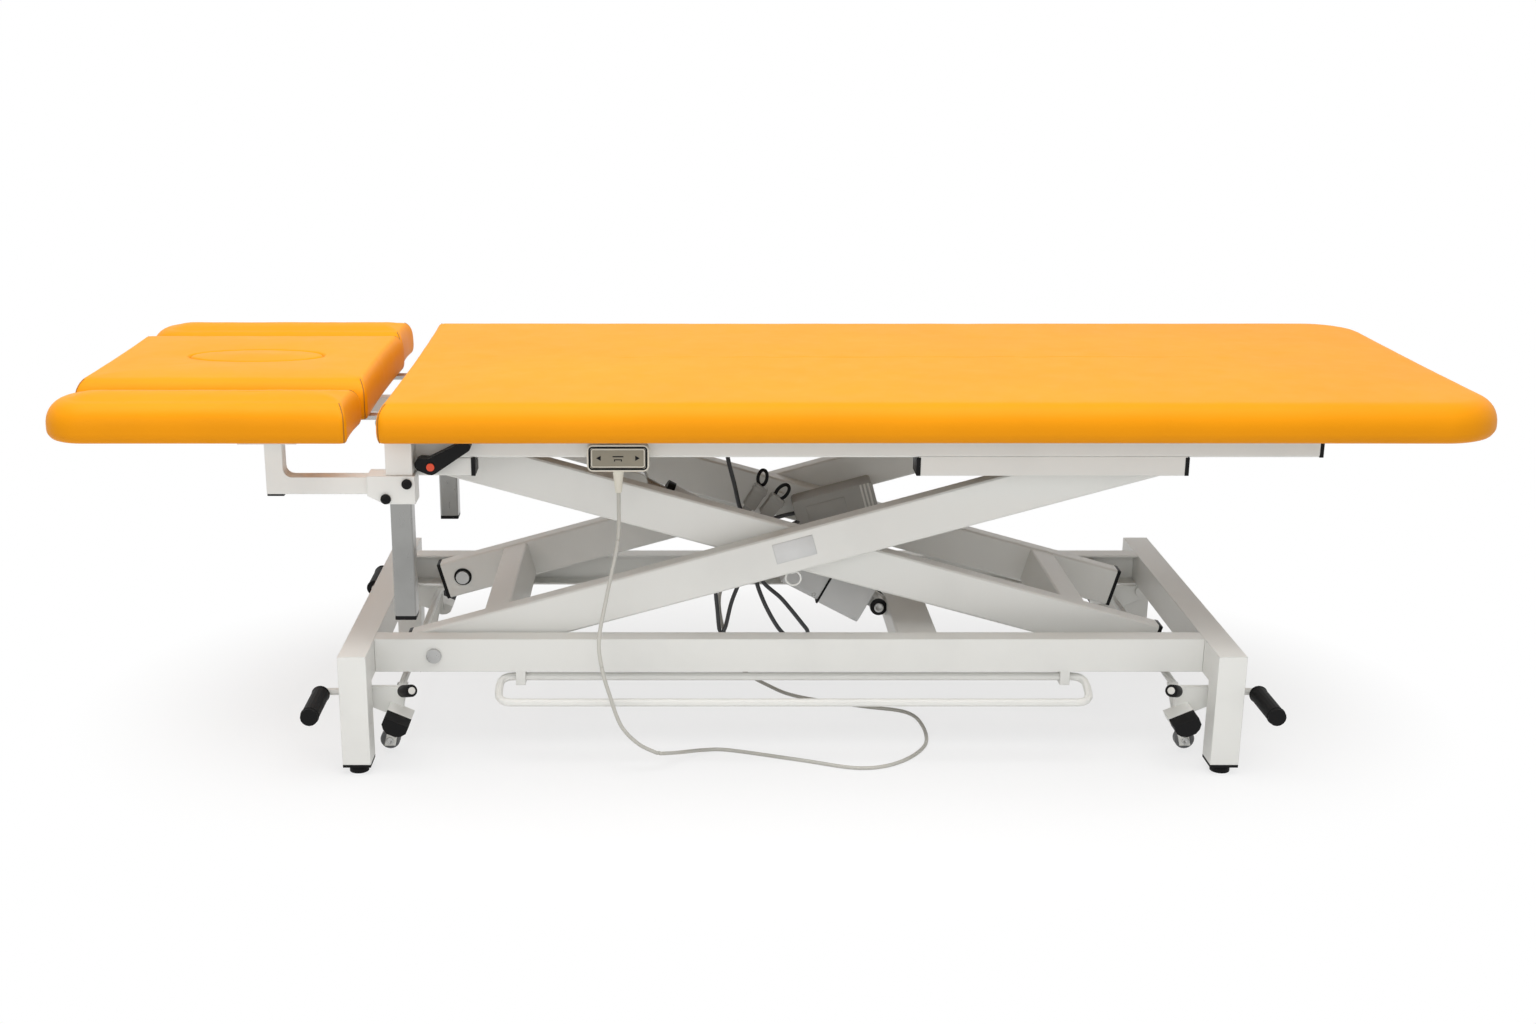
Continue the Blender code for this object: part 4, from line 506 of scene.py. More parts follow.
# The hand control's cord: the way of its hanging part, then its way over the floor and up to the gear cover
CORD_X = -0.214
HANGING = ((-0.2155, -0.253, 0.340), (-0.2324, -0.266, 0.257), (-0.2423, -0.281, 0.203),
           (-0.2385, -0.291, 0.165), (-0.2285, -0.295, 0.128), (-0.2123, -0.2925, 0.0783),
           (-0.1885, -0.285, 0.0471), (-0.1641, -0.2771, 0.0302), (-0.1595, -0.2740, 0.0278))
ON_FLOOR = ((-0.1587, -0.2735, 0.0274), (-0.1549, -0.2709, 0.0254), (-0.1290, -0.2450, 0.0158),
            (-0.0929, -0.2150, 0.0065), (-0.0543, -0.2080, 0.0031), (0.0468, -0.2432, 0.0031),
            (0.1313, -0.2720, 0.0031), (0.1919, -0.2504, 0.0031), (0.2362, -0.1886, 0.0031),
            (0.2415, -0.1122, 0.0031), (0.2217, -0.0604, 0.0031), (0.1541, -0.0358, 0.0031),
            (0.0624, 0.0018, 0.0031), (0.0165, 0.0404, 0.006), (-0.0300, 0.0600, 0.030),
            (-0.0550, 0.0700, 0.080), (-0.0640, 0.0800, 0.150), (-0.0300, 0.0750, 0.205),
            (0.0200, 0.0700, 0.2220), (0.0600, 0.0660, 0.2190), (0.0742, 0.0540, 0.2186),
            (0.0742, 0.0450, 0.2186), (0.0742, 0.0366, 0.2186))
HANGING_POINTS, FLOOR_POINTS = 151, 260
# The hanging cord's pieces: first and last point of its line, and the body above and the body below each one
HANGING_PIECES = (("cord_hanging_piece", 0, 24, "top", "inner_frame"),
                  ("cord_hanging_middle", 24, 90, "inner_frame", "outer_frame"),
                  ("cord_hanging_low", 90, 150, "outer_frame", "base"))


class TABLE_OT_finishes(bpy.types.Operator):
    """Makes the finishes and puts them on the solids"""

    bl_idname = "table.finishes"
    bl_label = "Finishes"

    def execute(self, context):
        make_looks()
        for part in frame["record"]["subparts"]:
            node = NODES[part["node"]]
            node.data.materials.clear()
            node.data.materials.append(bpy.data.materials["finish_" + part["material_slot"]])
        return {"FINISHED"}


def make_floor(colours):
    """A floor that fades to plain white away from the table."""
    bpy.ops.object.select_all(action="DESELECT")
    bpy.ops.mesh.primitive_plane_add(size=FLOOR_SIZE)
    floor = bpy.context.object
    floor.name = "studio_floor"
    look = Finish("studio_floor", colours.floor, 0.9, Specular_IOR_Level=0.1)
    across = look.part(look.place(), 0) / FADE[0]
    along = look.part(look.place(), 1) / FADE[1]
    away = (((across * across + along * along) ** 0.5 - 1.0) * FADE_RATE).clamped()
    rays = look.node("ShaderNodeLightPath", {}, {}, SEEN_RAYS[0])
    for kind in SEEN_RAYS[1:]:
        rays = rays + look.node("ShaderNodeLightPath", {}, {}, kind)
    lit = look.node("ShaderNodeEmission", {}, {"Color": WHITE, "Strength": 1.0})
    plain = Term(look, look.shader.outputs[0])
    share = rays.clamped() * (FLOOR_GLOW + away * (1 - FLOOR_GLOW))
    mixed = look.node("ShaderNodeMixShader", {}, {0: share, 1: plain, 2: lit})
    look.tree.links.new(mixed.socket, look.tree.nodes["Material Output"].inputs[0])
    floor.data.materials.append(look.material)


def make_sky(scene):
    """A soft light from all round, which looks plain white itself."""
    sky = bpy.data.worlds.new("studio_sky")
    sky.use_nodes = True
    scene.world = sky
    nodes, links = sky.node_tree.nodes, sky.node_tree.links
    soft, white = (nodes.new("ShaderNodeBackground") for _ in range(2))
    for background, strength in ((soft, SKY_LIGHT), (white, 1.0)):
        background.inputs[0].default_value = WHITE
        background.inputs[1].default_value = strength
    mix = nodes.new("ShaderNodeMixShader")
    path = nodes.new("ShaderNodeLightPath")
    seen = path.outputs[SEEN_RAYS[0]]
    for kind in SEEN_RAYS[1:]:
        either = nodes.new("ShaderNodeMath")
        either.operation = "MAXIMUM"
        links.new(seen, either.inputs[0])
        links.new(path.outputs[kind], either.inputs[1])
        seen = either.outputs[0]
    links.new(seen, mix.inputs[0])
    links.new(soft.outputs[0], mix.inputs[1])
    links.new(white.outputs[0], mix.inputs[2])
    links.new(mix.outputs[0], nodes["World Output"].inputs[0])


def make_lamps(scene):
    """Two large lamps."""
    for name, place, aim, width, depth, power in LAMPS:
        lamp = bpy.data.lights.new(name, "AREA")
        lamp.shape = "RECTANGLE"
        lamp.size = width
        lamp.size_y = depth
        lamp.energy = power
        obj = bpy.data.objects.new(name, lamp)
        obj.location = place
        obj.rotation_euler = (Vector(aim) - Vector(place)).to_track_quat("-Z", "Y").to_euler()
        scene.collection.objects.link(obj)


def make_camera(scene):
    """The camera that sees the table as the photograph does."""
    lens = bpy.data.cameras.new("photo_camera")
    lens.sensor_width = SENSOR_MM
    lens.lens = FOCAL_PIXELS / IMAGE_WIDTH * SENSOR_MM
    lens.shift_x = (IMAGE_WIDTH / 2 - AXIS_PIXEL) / IMAGE_WIDTH
    camera = bpy.data.objects.new("photo_camera", lens)
    camera.location = CAMERA_PLACE
    camera.rotation_euler = (math.radians(90 - CAMERA_PITCH), 0, 0)
    scene.collection.objects.link(camera)
    scene.camera = camera


class TABLE_OT_studio(bpy.types.Operator):
    """Adds the floor, the sky, the lamps and the camera"""

    bl_idname = "table.studio"
    bl_label = "Studio"

    def execute(self, context):
        context.scene.view_settings.view_transform = "Standard"
        make_floor(settings()[1])
        make_sky(context.scene)
        make_lamps(context.scene)
        make_camera(context.scene)
        return {"FINISHED"}


class TABLE_OT_cords(bpy.types.Operator):
    """Lays the hand control's cord"""

    bl_idname = "table.cords"
    bl_label = "Cords"

    def execute(self, context):
        sizes = settings()[0]
        radius = sizes.cord / 2
        low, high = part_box("handset_case")
        start = Vector((CORD_X, (low[1] + high[1]) / 2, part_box("cord_hanging")[1][2]))
        line = route((start, start - Vector((0, 0, 8 * radius)), *HANGING), HANGING_POINTS)
        for name, first, last, above, below in HANGING_PIECES:
            part = line[first:last + 1]
            hanging = hose(name, [part], radius, "cord")
            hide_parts("cord_hanging")
            length_of(part)
            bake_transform(hanging)
        line = route(ON_FLOOR, FLOOR_POINTS)
        lying = hose("cord_floor_piece", [line], radius, "cord")
        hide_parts("cord_floor")
        length_of(line)
        above = Vector((line[-1].x, line[-1].y, 0.02))
        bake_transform(lying)
        return {"FINISHED"}


# Pads: lowest and highest corner in plan, corner radii from the low corner round, thickness, body,
# how round each side's edge is, and how much the top is crowned
FULL = (1.0, 1.0, 1.0, 1.0)
MAIN = ((-0.537, -0.33), (0.997, 0.33), (0.014, 0.095, 0.095, 0.014), 0.053, "top",
        (0.4, 1.0, 1.0, 1.0), 1.0)
HEAD = ((-0.985, -0.189), (-0.569, 0.189), (0.014, 0.014, 0.014, 0.014), 0.058, "head_section",
        (0.4, 1.0, 0.4, 1.0), 1.0)
ARMREST = ((-0.997, -0.33), (-0.573, -0.195), (0.066, 0.014, 0.014, 0.066), 0.0540, "armrest_front",
           (1.0, 1.0, 0.4, 1.0), 2.3)
MAIN_STEPS, HEAD_STEPS, CORNER_STEPS = 90, 44, 16
ROUND_CORNER = 0.05              # a corner of a smaller radius is sewn
BOARD_INSET, BOARD_THICK, FIT = 0.030, 0.015, 0.0003
BOARD_RINGS = 2
TUCK = 0.014                     # radius of the roll under a pad
TOP_RINGS, SLOT_RINGS, PLUG_RINGS = 24, 16, 8
SLOT_X, SLOT_LENGTH, SLOT_WIDTH = -0.764, 0.200, 0.090
SLOT_ROLL, PLUG_ROLL = 0.007, 0.006
PAD_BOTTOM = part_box("main_board")[0][2]


def outline(low, high, radii, inset, edge, ease, top):
    """Points round a rectangle with rounded corners, drawn in by an inset, less where a side is eased."""
    x0, y0, x1, y1 = (inset - (1 - share) * min(inset, top) for share in ease)
    x0, y0, x1, y1 = low[0] + x0, low[1] + y0, high[0] - x1, high[1] - y1
    corners = ((x0, y0, 1, 1, 180), (x1, y0, -1, 1, 270), (x1, y1, -1, -1, 0), (x0, y1, 1, -1, 90))
    least = max(0.001, 0.009 - inset * 0.04)
    arcs = []
    for (x, y, dx, dy, start), radius in zip(corners, radii):
        r = min(max(radius - inset, least), (x1 - x0) / 2, (y1 - y0) / 2)
        arc = [math.radians(start + 90 * k / CORNER_STEPS) for k in range(CORNER_STEPS + 1)]
        arcs.append([(x + dx * r + r * math.cos(a), y + dy * r + r * math.sin(a)) for a in arc])
    points = []
    for arc, following in zip(arcs, arcs[1:] + arcs[:1]):
        points += arc
        (xa, ya), (xb, yb) = arc[-1], following[0]
        points += [(xa + (xb - xa) * k / edge, ya + (yb - ya) * k / edge) for k in range(1, edge)]
    return points


def slot_point(x, y, out):
    """The place on the nose slot's edge on the same bearing as a point, moved out from it."""
    long, wide = SLOT_LENGTH / 2, SLOT_WIDTH / 2
    turn = math.atan2(y / wide, (x - SLOT_X) / long)
    away = Vector((math.cos(turn) / long, math.sin(turn) / wide)).normalized() * out
    return SLOT_X + math.cos(turn) * long + away.x, math.sin(turn) * wide + away.y


def edge_of(thick, sizes):
    """Radius of the roll along a pad's upper edge."""
    return min(sizes.edge_round, thick * 0.66)


def side_levels(thick, sizes, board):
    """Inset and height of each ring from under a pad to the start of its top."""
    levels = []
    if board:
        levels += [(BOARD_INSET - FIT, BOARD_THICK + FIT), (BOARD_INSET - FIT, 0.0)]
    levels += [(TUCK * (1 - math.cos(a)), TUCK + TUCK * math.sin(a)) for a in turns(15, -6, 0)]
    top = edge_of(thick, sizes)
    levels += [(0.0, TUCK + (thick - TUCK - top) * k / 3) for k in (1, 2)]
    levels += [(top * (1 - math.cos(a)), thick - top + top * math.sin(a)) for a in turns(9, 0, 10)]
    return levels


def shaped(low, high, point, rise, thick, sizes, radii=(0, 0, 0, 0)):
    """Draws a pad's sides in, and adds soft creases, and puckers under its round corners."""
    middle = Vector(((low[0] + high[0]) / 2, (low[1] + high[1]) / 2))
    size = Vector(((high[0] - low[0]) / 2, (high[1] - low[1]) / 2))
    x, y = point
    u, v = (x - middle.x) / size.x, (y - middle.y) / size.y
    x -= sizes.drawn_in * u * abs(u) ** 6 * (1 - v * v)
    y -= sizes.drawn_in * v * abs(v) ** 6 * (1 - u * u)
    if rise <= TUCK * 0.2:
        return Vector((x, y, PAD_BOTTOM + rise))
    out = Vector((u * abs(u) ** 9, v * abs(v) ** 9, max(0.0, rise / thick - 0.9) * 6))
    ripple = noise.noise(Vector((x * 16, y * 16, rise * 24)))
    ripple += 0.5 * noise.noise(Vector((x * 55, y * 55, rise * 18)))
    place = Vector((x, y, PAD_BOTTOM + rise)) - out * sizes.crease * (0.6 - 0.6 * ripple)
    for radius, side, end in zip(radii, (-1, 1, 1, -1), (-1, -1, 1, 1)):
        arm = Vector((u * size.x * side - size.x + radius, v * size.y * end - size.y + radius))
        if radius > ROUND_CORNER and min(arm) > 0 and arm.length > radius * 0.7:
            turn = math.atan2(arm.y, arm.x)
            fold = max(0.0, math.sin(turn * 34 + 2.5 * noise.noise(Vector((turn * 5, side * 9, end * 5)))))
            fade = max(0.0, 1 - rise / thick / 0.72) * math.sin(2 * turn) ** 0.5
            arm = arm.normalized() * sizes.crease * 1.6 * fold * fade
            place -= Vector((arm.x * side, arm.y * end, 0))
    return place


def loft(rings, closed):
    """Points and faces through equal rings; closed joins the last to the first, else both are capped."""
    count = len(rings[0])
    points = [p for ring in rings for p in ring]
    faces = []
    last = len(rings) if closed else len(rings) - 1
    for k in range(last):
        low, high = k * count, (k + 1) % len(rings) * count
        faces += band(low, high, count)
    if not closed:
        faces += [tuple(range(count)), tuple(range(len(points) - count, len(points)))]
    return points, faces


def pad_rings(kind, sizes, edge, board, slot):
    """Rings of points from under a pad, up its sides and over its top."""
    low, high, radii, thick, _, ease, dome = kind
    top = edge_of(thick, sizes)
    rings = []
    for k, (inset, rise) in enumerate(side_levels(thick, sizes, board)):
        around = outline(low, high, radii, inset, edge, FULL if board and k < BOARD_RINGS else ease, top)
        rings.append([shaped(low, high, p, rise, thick, sizes, radii) for p in around])
    half = min(high[0] - low[0], high[1] - low[1]) / 2
    rim = outline(low, high, radii, top, edge, ease, top)
    if slot:
        for share in (k / SLOT_RINGS for k in range(1, SLOT_RINGS + 1)):
            rise = thick + sizes.crown * math.sin(math.pi * share) * 0.8
            ring = []
            for x, y in rim:
                sx, sy = slot_point(x, y, SLOT_ROLL)
                place = (x + (sx - x) * share, y + (sy - y) * share)
                ring.append(shaped(low, high, place, rise, thick, sizes))
            rings.append(ring)
        down = [(SLOT_ROLL * (1 - math.sin(a)), -SLOT_ROLL * (1 - math.cos(a))) for a in turns(15, 1, 6)]
        down.append((0.0, BOARD_THICK + FIT - thick))
        for out, drop in down:
            rings.append([Vector((*slot_point(x, y, out), PAD_BOTTOM + thick + drop)) for x, y in rim])
    else:
        for share in (k / (TOP_RINGS + 0.3) for k in range(1, TOP_RINGS + 1)):
            rise = thick + sizes.crown * dome * math.sin(math.pi / 2 * share)
            ring = outline(low, high, radii, top + (half - top) * share, edge, ease, top)
            rings.append([shaped(low, high, p, rise, thick, sizes) for p in ring])
    return rings


def make_pad(name, node, kind, edge, board=True, slot=False, mirrored=False, body=None):
    """A pad that stands for one soft solid, and the sewn seams on its corners."""
    sizes = settings()[0]
    rings = pad_rings(kind, sizes, edge, board, slot)
    levels = len(side_levels(kind[3], sizes, board)) - 2
    first = BOARD_RINGS if board else 0
    seams = []
    for turn, radius in enumerate(kind[2]):
        if radius < ROUND_CORNER:
            at = turn * (CORNER_STEPS + edge) + CORNER_STEPS // 2
            seams.append([ring[at] for ring in rings[first + 2:levels]])
    flip = Matrix.Diagonal((1, -1 if mirrored else 1, 1))
    rings = [[flip @ p for p in ring] for ring in rings]
    seams = [[flip @ p for p in line] for line in seams]
    pad = mesh_piece(name, *loft(rings, slot), "vinyl")
    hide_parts(node)
    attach(pad, body or kind[4])
    sewn = hose(name + "_seams", seams, sizes.seam, "seam", 8)
    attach(sewn, body or kind[4])
    return pad


class TABLE_OT_main_pad(bpy.types.Operator):
    """Upholsters the main section"""

    bl_idname = "table.main_pad"
    bl_label = "Main pad"

    def execute(self, context):
        make_pad("main_cushion", "main_pad", MAIN, MAIN_STEPS)
        return {"FINISHED"}


class TABLE_OT_head_pads(bpy.types.Operator):
    """Upholsters the head section, its nose plug and the armrests"""

    bl_idname = "table.head_pads"
    bl_label = "Head pads"

    def execute(self, context):
        sizes = settings()[0]
        make_pad("head_cushion", "head_pad", HEAD, HEAD_STEPS, slot=True)
        for name, side in SIDES:
            make_pad("armrest_cushion_" + name, "armrest_pad_" + name, ARMREST, HEAD_STEPS, board=False,
                     mirrored=side == REAR, body="armrest_" + name)
        thick, roll = HEAD[3], PLUG_ROLL
        rim = [slot_point(SLOT_X + 0.3 * math.cos(a), 0.12 * math.sin(a), 0.0) for a in turns(3, 0, 119)]
        levels = [(FIT + roll, 0.0), (FIT, roll), (FIT, (thick - roll) / 2), (FIT, thick - roll)]
        for a in turns(15, 1, 6):
            levels.append((FIT + roll * (1 - math.cos(a)), thick - roll + roll * math.sin(a)))
        rings = []
        for inset, rise in levels:
            rings.append([Vector((*slot_point(x, y, -inset), PAD_BOTTOM + rise)) for x, y in rim])
        edge = rings[-1]
        for share in (k / (PLUG_RINGS + 0.2) for k in range(1, PLUG_RINGS + 1)):
            rise = Vector((0, 0, sizes.crown * math.sin(math.pi / 2 * share)))
            rings.append([p.lerp(Vector((SLOT_X, 0, p.z)), share) + rise for p in edge])
        plug = mesh_piece("nose_cushion", *loft(rings, False), "vinyl")
        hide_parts("nose_plug")
        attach(plug, "head_section")
        return {"FINISHED"}


# Tubes that end in a cap, then the caps: thickness of an insert, depth of a sleeve, how far it stands out
RAIL_ENDS, RAIL_Y, RAIL_Z = (-0.5345, 0.766), 0.220, 0.476
TRACK_ENDS, TRACK_Y = (-0.417, 0.205, 0.580), 0.215
POST = Vector((-0.515, 0.2536, 0.234))
CRANK_X, CRANK_Z = -0.688, 0.4117
CAP, CAP_DEEP, CAP_OVER = 0.003, 0.006, 0.0006


class TABLE_OT_end_caps(bpy.types.Operator):
    """Closes the ends of the tubes with plastic caps"""

    bl_idname = "table.end_caps"
    bl_label = "End caps"

    def execute(self, context):
        caps = []
        for name, side in SIDES:
            head, foot = RAIL_ENDS
            caps.append(block((head, side * RAIL_Y, RAIL_Z), (0.009, 0.0296, 0.0396)))
            caps.append(block((foot, side * RAIL_Y, RAIL_Z), (CAP_DEEP, 0.030 + CAP_OVER, 0.040 + CAP_OVER)))
            track = (CAP_DEEP, 0.040 + CAP_OVER, 0.026 + CAP_OVER)
            caps += [block((x, side * TRACK_Y, TOP_PIVOT_Z), track) for x in TRACK_ENDS]
            caps.append(block((POST.x, side * POST.y, POST.z - CAP), (0.0296, 0.0296, 2 * CAP)))
            crank = block((CRANK_X, side * POST.y, CRANK_Z - CAP / 2), (0.0236, 0.0236, CAP))
            together([crank], "crank_cap_" + name, "black", "armrest_" + name)
        together(caps, "top_caps", "black", "top")
        high = Vector((LIFT_PIVOT.x, 0, TOP_PIVOT_Z))
        for body, start, way, y, tilt in (("outer_frame", LIFT_PIVOT, ALONG, OUTER_ARM_Y, TILT),
                                          ("inner_frame", high, DOWN, INNER_ARM_Y, -TILT)):
            caps = []
            size = (CAP_DEEP, ARM_SIZE.x + CAP_OVER, ARM_SIZE.y + CAP_OVER)
            for _, side in SIDES:
                for place in (start - way * ARM_OVERHANG, start + way * (ARM_PITCH + ARM_OVERHANG)):
                    caps.append(block(place + Vector((0, side * y, 0)), size, tilt))
            together(caps, body + "_caps", "black", body)
        return {"FINISHED"}


CARRIAGE_FACE = 0.0215           # out from the middle of the post
CARRIAGE_BOLTS = ((-0.5043, 0.4288), (-0.5342, 0.4075))
CLEVIS = Vector((0.180, 0.0173, 0.162))
LOCK_RING = Vector((0.0368, -0.1720, 0.2587))
ARM_PLATE_X, ARM_PLATE_Z, ARM_PLATE_SIZE = 0.0374, 0.3054, (0.060, 0.0008, 0.030)


class TABLE_OT_bolts(bpy.types.Operator):
    """Adds the carriage bolts, the pivot washers, the clevis bolts, the lock ring and a bare plate"""

    bl_idname = "table.bolts"
    bl_label = "Bolts"

    def execute(self, context):
        washers, screws = [], []
        for name, side in SIDES:
            heads = []
            face = side * (POST.y + CARRIAGE_FACE)
            for x, z in CARRIAGE_BOLTS:
                heads.append(peg((x, face, z), (x, face + side * 0.0038, z), 0.0073, 28, 0.0014))
                heads.append(socket_screw((x, face + side * 0.0030, z), (0, side, 0), 0.0046, 0.0022))
            together(heads, "carriage_bolts_" + name, "black", "armrest_" + name)
            pivot = LIFT_PIVOT + Vector((0, side * (OUTER_ARM_Y - ARM_SIZE.x / 2), 0))
            washers.append(peg(pivot, pivot - Vector((0, side * 0.0016, 0)), 0.0145))
            ear = Vector((CLEVIS.x, side * CLEVIS.y, CLEVIS.z))
            washers.append(peg(ear, ear + Vector((0, side * 0.0060, 0)), 0.0132, 28, 0.0012))
            screws.append(socket_screw(ear + Vector((0, side * 0.0050, 0)), (0, side, 0), 0.0074, 0.0036))
        together(washers, "pivot_washers", "black", "base")
        together(screws, "clevis_bolts", "steel", "base")
        ring = hoop(LOCK_RING, (0.10, 1, 0.05), 0.0110, 0.0014)
        lug = block(LOCK_RING + Vector((0, 0, 0.0103)), (0.0080, 0.0030, 0.0060), TILT)
        together([ring, lug], "lock_ring", "paint", "outer_frame")
        front = -OUTER_ARM_Y - ARM_SIZE.x / 2 - 0.0002
        plate = block((ARM_PLATE_X, front, ARM_PLATE_Z), ARM_PLATE_SIZE, TILT, 0.0002)
        together([plate], "arm_plate", "alloy", "outer_frame")
        return {"FINISHED"}


# Drive cables: points of each one seen from the front, and how deep it starts and ends
LOOPS = (((-0.033, 0.293), (-0.026, 0.243), (-0.029, 0.192), (-0.046, 0.143), (-0.056, 0.100),
          (-0.064, 0.092), (-0.068, 0.125), (-0.071, 0.177), (-0.058, 0.232), (-0.020, 0.268),
          (0.030, 0.282), (0.060, 0.284)),
         ((0.0065, 0.2835), (-0.004, 0.240), (-0.009, 0.193), (0.004, 0.150), (0.028, 0.105),
          (0.048, 0.086), (0.070, 0.086), (0.076, 0.096), (0.066, 0.112), (0.034, 0.152),
          (0.000, 0.186), (0.006, 0.232), (0.034, 0.262), (0.063, 0.2735)),
         ((-0.072, 0.4985), (-0.066, 0.440), (-0.056, 0.392), (-0.051, 0.369), (-0.043, 0.338),
          (-0.036, 0.306), (-0.031, 0.290)))
LOOP_Y = ((0.060, 0.082), (0.048, 0.080), (0.060, 0.060))
LOOP_POINTS, TIE_POINTS, LOOP_WAVE = 90, 40, 0.004
# Plugs: place, slope and size, then place, slope, half length and half width of the tie on it
PLUGS = (((-0.0095, 0.060, 0.3180), 58, (0.040, 0.018, 0.021), (0.0010, 0.3480), 78, 0.0125, 0.0066),
         ((0.0160, 0.048, 0.3060), 53, (0.036, 0.018, 0.023), (0.0315, 0.3280), 48, 0.0140, 0.0072))
RIBS = (0.046, 0.052, 0.058)     # along the control box from its middle


class TABLE_OT_wiring(bpy.types.Operator):
    """Adds the plugs and cables by the control box, and the box's ribs and plate"""

    bl_idname = "table.wiring"
    bl_label = "Wiring"

    def execute(self, context):
        low, high = (Vector(c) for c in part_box("control_box"))
        middle = (low + high) / 2
        size = (0.0030, high.y - low.y + 0.0016, 0.0516)
        trim = [block(middle + ALONG * along, size, TILT) for along in RIBS]
        together(trim, "control_ribs", "nylon", "inner_frame")
        front = Vector((middle.x, low.y - 0.0004, middle.z)) - ALONG * 0.014
        together([block(front, (0.062, 0.0012, 0.028), TILT)], "control_plate", "grey", "inner_frame")
        strands = []
        for count, (place, tilt, size, (x, z), turn, long, wide) in enumerate(PLUGS):
            tilt, turn, place = math.radians(tilt), math.radians(turn), Vector(place)
            axis = Vector((math.cos(tilt), 0, math.sin(tilt)))
            shell = [block(place, size, tilt, 0.0016)]
            shell.append(block(place + axis * size[0] * 0.30, (0.008, 0.0200, size[2] + 0.002), tilt))
            shell.append(block(place - axis * (size[0] * 0.56 + 0.004), (0.018, 0.0110, 0.0130), tilt))
            together(shell, f"plug_{count + 1}", "grey", "inner_frame")
            lie = Vector((math.cos(turn), 0, math.sin(turn))) * long
            over = Vector((-math.sin(turn) * wide, LOOP_WAVE, math.cos(turn) * wide))
            centre = Vector((x, place.y, z))
            ring = [centre + lie * math.cos(a) + over * math.sin(a) for a in turns(30, 0, 12)]
            strands.append(route(ring, TIE_POINTS))
        ties = hose("plug_ties", strands, 0.0028, "black", 8)
        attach(ties, "inner_frame")
        for count, (points, (near, far)) in enumerate(zip(LOOPS, LOOP_Y)):
            way = []
            for k, (x, z) in enumerate(points):
                share = (k / (len(points) - 1)) ** 12
                way.append(Vector((x, near + (far - near) * share + LOOP_WAVE * math.sin(k * 1.3), z)))
            line = route(way, LOOP_POINTS)
            cable = hose(f"drive_cable_{count + 1}", [line], 0.0034, "cable", 10)
            length_of(line)
            if count < 2:
                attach(cable, "inner_frame")
            else:
                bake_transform(cable)
        return {"FINISHED"}


# Castor gear: middle of the legs at each end and the way to the table's middle, how far from it the two
# bars lie, and their height; small handles lean out from the inner bar
LEG_X = {"head": (-0.591, 1), "foot": (0.651, -1)}
BAR_X, BAR_Z = 0.056, 0.105
HANDLE_Y, HANDLE_TIP = 0.2305, (0.024, 0.278, 0.125)
GRIP_RINGS_Y = (0.2420, 0.3230)
WHEEL_BACK, WHEEL_Y, WHEEL_Z, HUB_OUT = 0.020, 0.204, 0.0215, 0.0113


class TABLE_OT_castor_trim(bpy.types.Operator):
    """Adds sleeves and inserts to the small handles, rings to the large grips and bolts to the wheel hubs"""

    bl_idname = "table.castor_trim"
    bl_label = "Castor trim"

    def execute(self, context):
        for end, (leg, way) in LEG_X.items():
            sleeves, inserts, hubs = [], [], []
            cross, grip = leg + way * BAR_X, leg - way * BAR_X
            lean, tip_y, tip_z = HANDLE_TIP
            for _, side in SIDES:
                start = Vector((cross, side * HANDLE_Y, BAR_Z))
                tip = Vector((cross + way * lean, side * tip_y, tip_z))
                ahead = (tip - start).normalized()
                sleeves.append(peg(start + ahead * 0.0175, tip + ahead * 0.0050, 0.0090, 28, 0.0028))
                inserts.append(peg(tip + ahead * 0.0040, tip + ahead * 0.0058, 0.0052, 20, 0.0006))
                for y in GRIP_RINGS_Y:
                    sleeves.append(hoop((grip, side * y, BAR_Z), (0, 1, 0), 0.0122, 0.0011))
                for out in (-1, 1):
                    hub = (cross - way * WHEEL_BACK, side * WHEEL_Y + out * HUB_OUT, WHEEL_Z)
                    hubs.append(socket_screw(hub, (0, out, 0), 0.0056, 0.0026))
            body = "castor_lever_" + end
            together(sleeves, "grip_sleeves_" + end, "rubber", body)
            together(inserts, "grip_inserts_" + end, "nylon", body)
            together(hubs, "hub_bolts_" + end, "steel", body)
        return {"FINISHED"}


# Bars of the sign for a table on the hand control's panel: place, length and height
TABLE_SIGN = ((0.0, 0.0022, 0.0150, 0.0016), (0.0, -0.0022, 0.0110, 0.0013),
              (-0.0048, -0.0036, 0.0014, 0.0022), (0.0048, -0.0036, 0.0014, 0.0022))
SIGN_THICK, ARROW_X, ARROW_RADIUS = 0.0006, 0.026, 0.0042
# Bands round the panel: body, look, how far out it lies, width and corner radius
BANDS = {"joint_line": ("top", "black", 0.0028, 0.0023, 0.0055),
         "panel_rim": ("handset_rocker", "ivory", -0.0007, 0.0017, 0.0030)}
BAND_OUT, BAND_BACK = -0.0002, 0.0006


def rounded(low, high, radius, steps=6):
    """Points round a rectangle with rounded corners."""
    points = []
    for x, y, start in ((high[0] - radius, high[1] - radius, 0), (low[0] + radius, high[1] - radius, 90),
                        (low[0] + radius, low[1] + radius, 180), (high[0] - radius, low[1] + radius, 270)):
        arc = [math.radians(start + 90 * k / steps) for k in range(steps + 1)]
        points += [(x + radius * math.cos(a), y + radius * math.sin(a)) for a in arc]
    return points


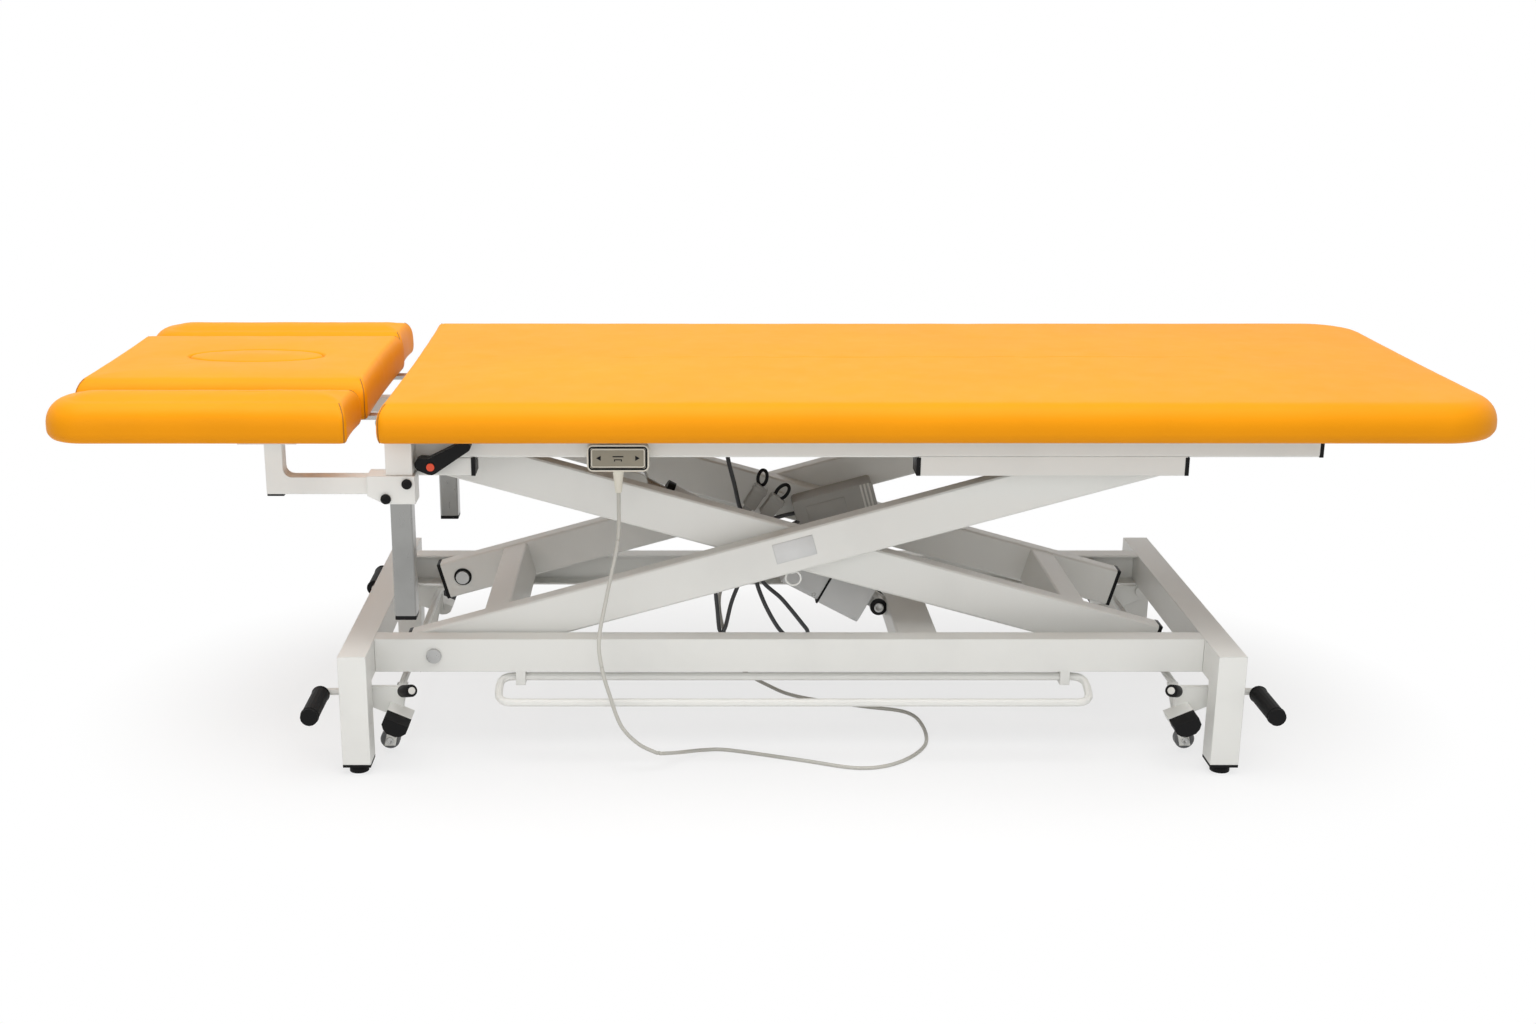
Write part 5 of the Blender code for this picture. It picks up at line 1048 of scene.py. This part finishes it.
class TABLE_OT_handset_trim(bpy.types.Operator):
    """Adds the hand control's dark joint line, the panel's rim, two plain arrows and a table sign"""

    bl_idname = "table.handset_trim"
    bl_label = "Hand control trim"

    def execute(self, context):
        low, high = (Vector(c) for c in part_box("handset_rocker"))
        middle = (low + high) / 2
        faces = {"joint_line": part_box("handset_case")[0][1], "panel_rim": low.y}
        for name, (body, look, out, wide, corner) in BANDS.items():
            inset = out - wide
            outer = rounded((low.x - out, low.z - out), (high.x + out, high.z + out), corner)
            inner = rounded((low.x - inset, low.z - inset), (high.x + inset, high.z + inset), corner - wide)
            rings = []
            for line, back in ((outer, BAND_BACK), (outer, BAND_OUT), (inner, BAND_OUT), (inner, BAND_BACK)):
                rings.append([Vector((x, faces[name] + back, z)) for x, z in line])
            made = mesh_piece("handset_" + name, *loft(rings, True), look)
            together([made], "handset_" + name, look, body)
        arrows = []
        for x, z, long, tall in TABLE_SIGN:
            arrows.append(block((middle.x + x, low.y, middle.z + z), (long, SIGN_THICK, tall), 0, 0.0001))
        for way in (-1, 1):
            bpy.ops.object.select_all(action="DESELECT")
            bpy.ops.mesh.primitive_cylinder_add(vertices=3, radius=ARROW_RADIUS, depth=SIGN_THICK,
                                                location=(middle.x + way * ARROW_X, low.y, middle.z),
                                                rotation=(math.radians(90), math.radians(90 * way), 0))
            bpy.ops.object.transform_apply(location=True, rotation=True, scale=True)
            arrows.append(context.object)
        together(arrows, "handset_arrows", "black", "handset_rocker")
        return {"FINISHED"}


DRIVE_AXIS = Vector((-0.881631, 0, 0.471940))
GASKET_AT = 0.0906               # along the drive from its clevis


class TABLE_OT_drive_trim(bpy.types.Operator):
    """Adds the gasket between motor and gear cover, and the cover's screws"""

    bl_idname = "table.drive_trim"
    bl_label = "Drive trim"

    def execute(self, context):
        lie = DRIVE_AXIS
        over = Vector((lie.z, 0, -lie.x))
        joint = Vector((CLEVIS.x, 0, CLEVIS.z)) + lie * GASKET_AT
        slope = math.asin(-lie.z)
        gasket = block(joint, (0.0030, 0.0626, 0.0750), slope, 0.0004)
        together([gasket], "motor_gasket", "black", "actuator")
        screws = []
        for out in (-1, 1):
            for across in (-0.028, 0.028):
                face = joint + lie * 0.010 + over * across + Vector((0, out * 0.0290, 0))
                screws.append(socket_screw(face, (0, out, 0), 0.0034, 0.0016))
        together(screws, "cover_screws", "steel", "actuator")
        return {"FINISHED"}


CLASSES = (TableSizes, TableColours, TABLE_OT_finishes, TABLE_OT_studio, TABLE_OT_cords, TABLE_OT_main_pad,
           TABLE_OT_head_pads, TABLE_OT_end_caps, TABLE_OT_bolts, TABLE_OT_wiring, TABLE_OT_castor_trim,
           TABLE_OT_handset_trim, TABLE_OT_drive_trim)
STEPS = [kind for kind in CLASSES if issubclass(kind, bpy.types.Operator)]


class TABLE_PT_panel(bpy.types.Panel):
    """Lists the steps in order"""

    bl_idname = "TABLE_PT_panel"
    bl_label = "Treatment table"
    bl_space_type = "VIEW_3D"
    bl_region_type = "UI"
    bl_category = "Table"

    def draw(self, context):
        column = self.layout.column()
        for group in (context.scene.table_sizes, context.scene.table_colours):
            for name in group.__annotations__:
                column.prop(group, name)
        for step in STEPS:
            column.operator(step.bl_idname)


def register():
    for kind in (*CLASSES, TABLE_PT_panel):
        bpy.utils.register_class(kind)
    bpy.types.Scene.table_sizes = bpy.props.PointerProperty(type=TableSizes)
    bpy.types.Scene.table_colours = bpy.props.PointerProperty(type=TableColours)


def unregister():
    del bpy.types.Scene.table_colours
    del bpy.types.Scene.table_sizes
    for kind in reversed((*CLASSES, TABLE_PT_panel)):
        bpy.utils.unregister_class(kind)


def main():
    register()
    for step in STEPS:
        group, name = step.bl_idname.split(".")
        getattr(getattr(bpy.ops, group), name)()


if __name__ == "__main__":
    main()
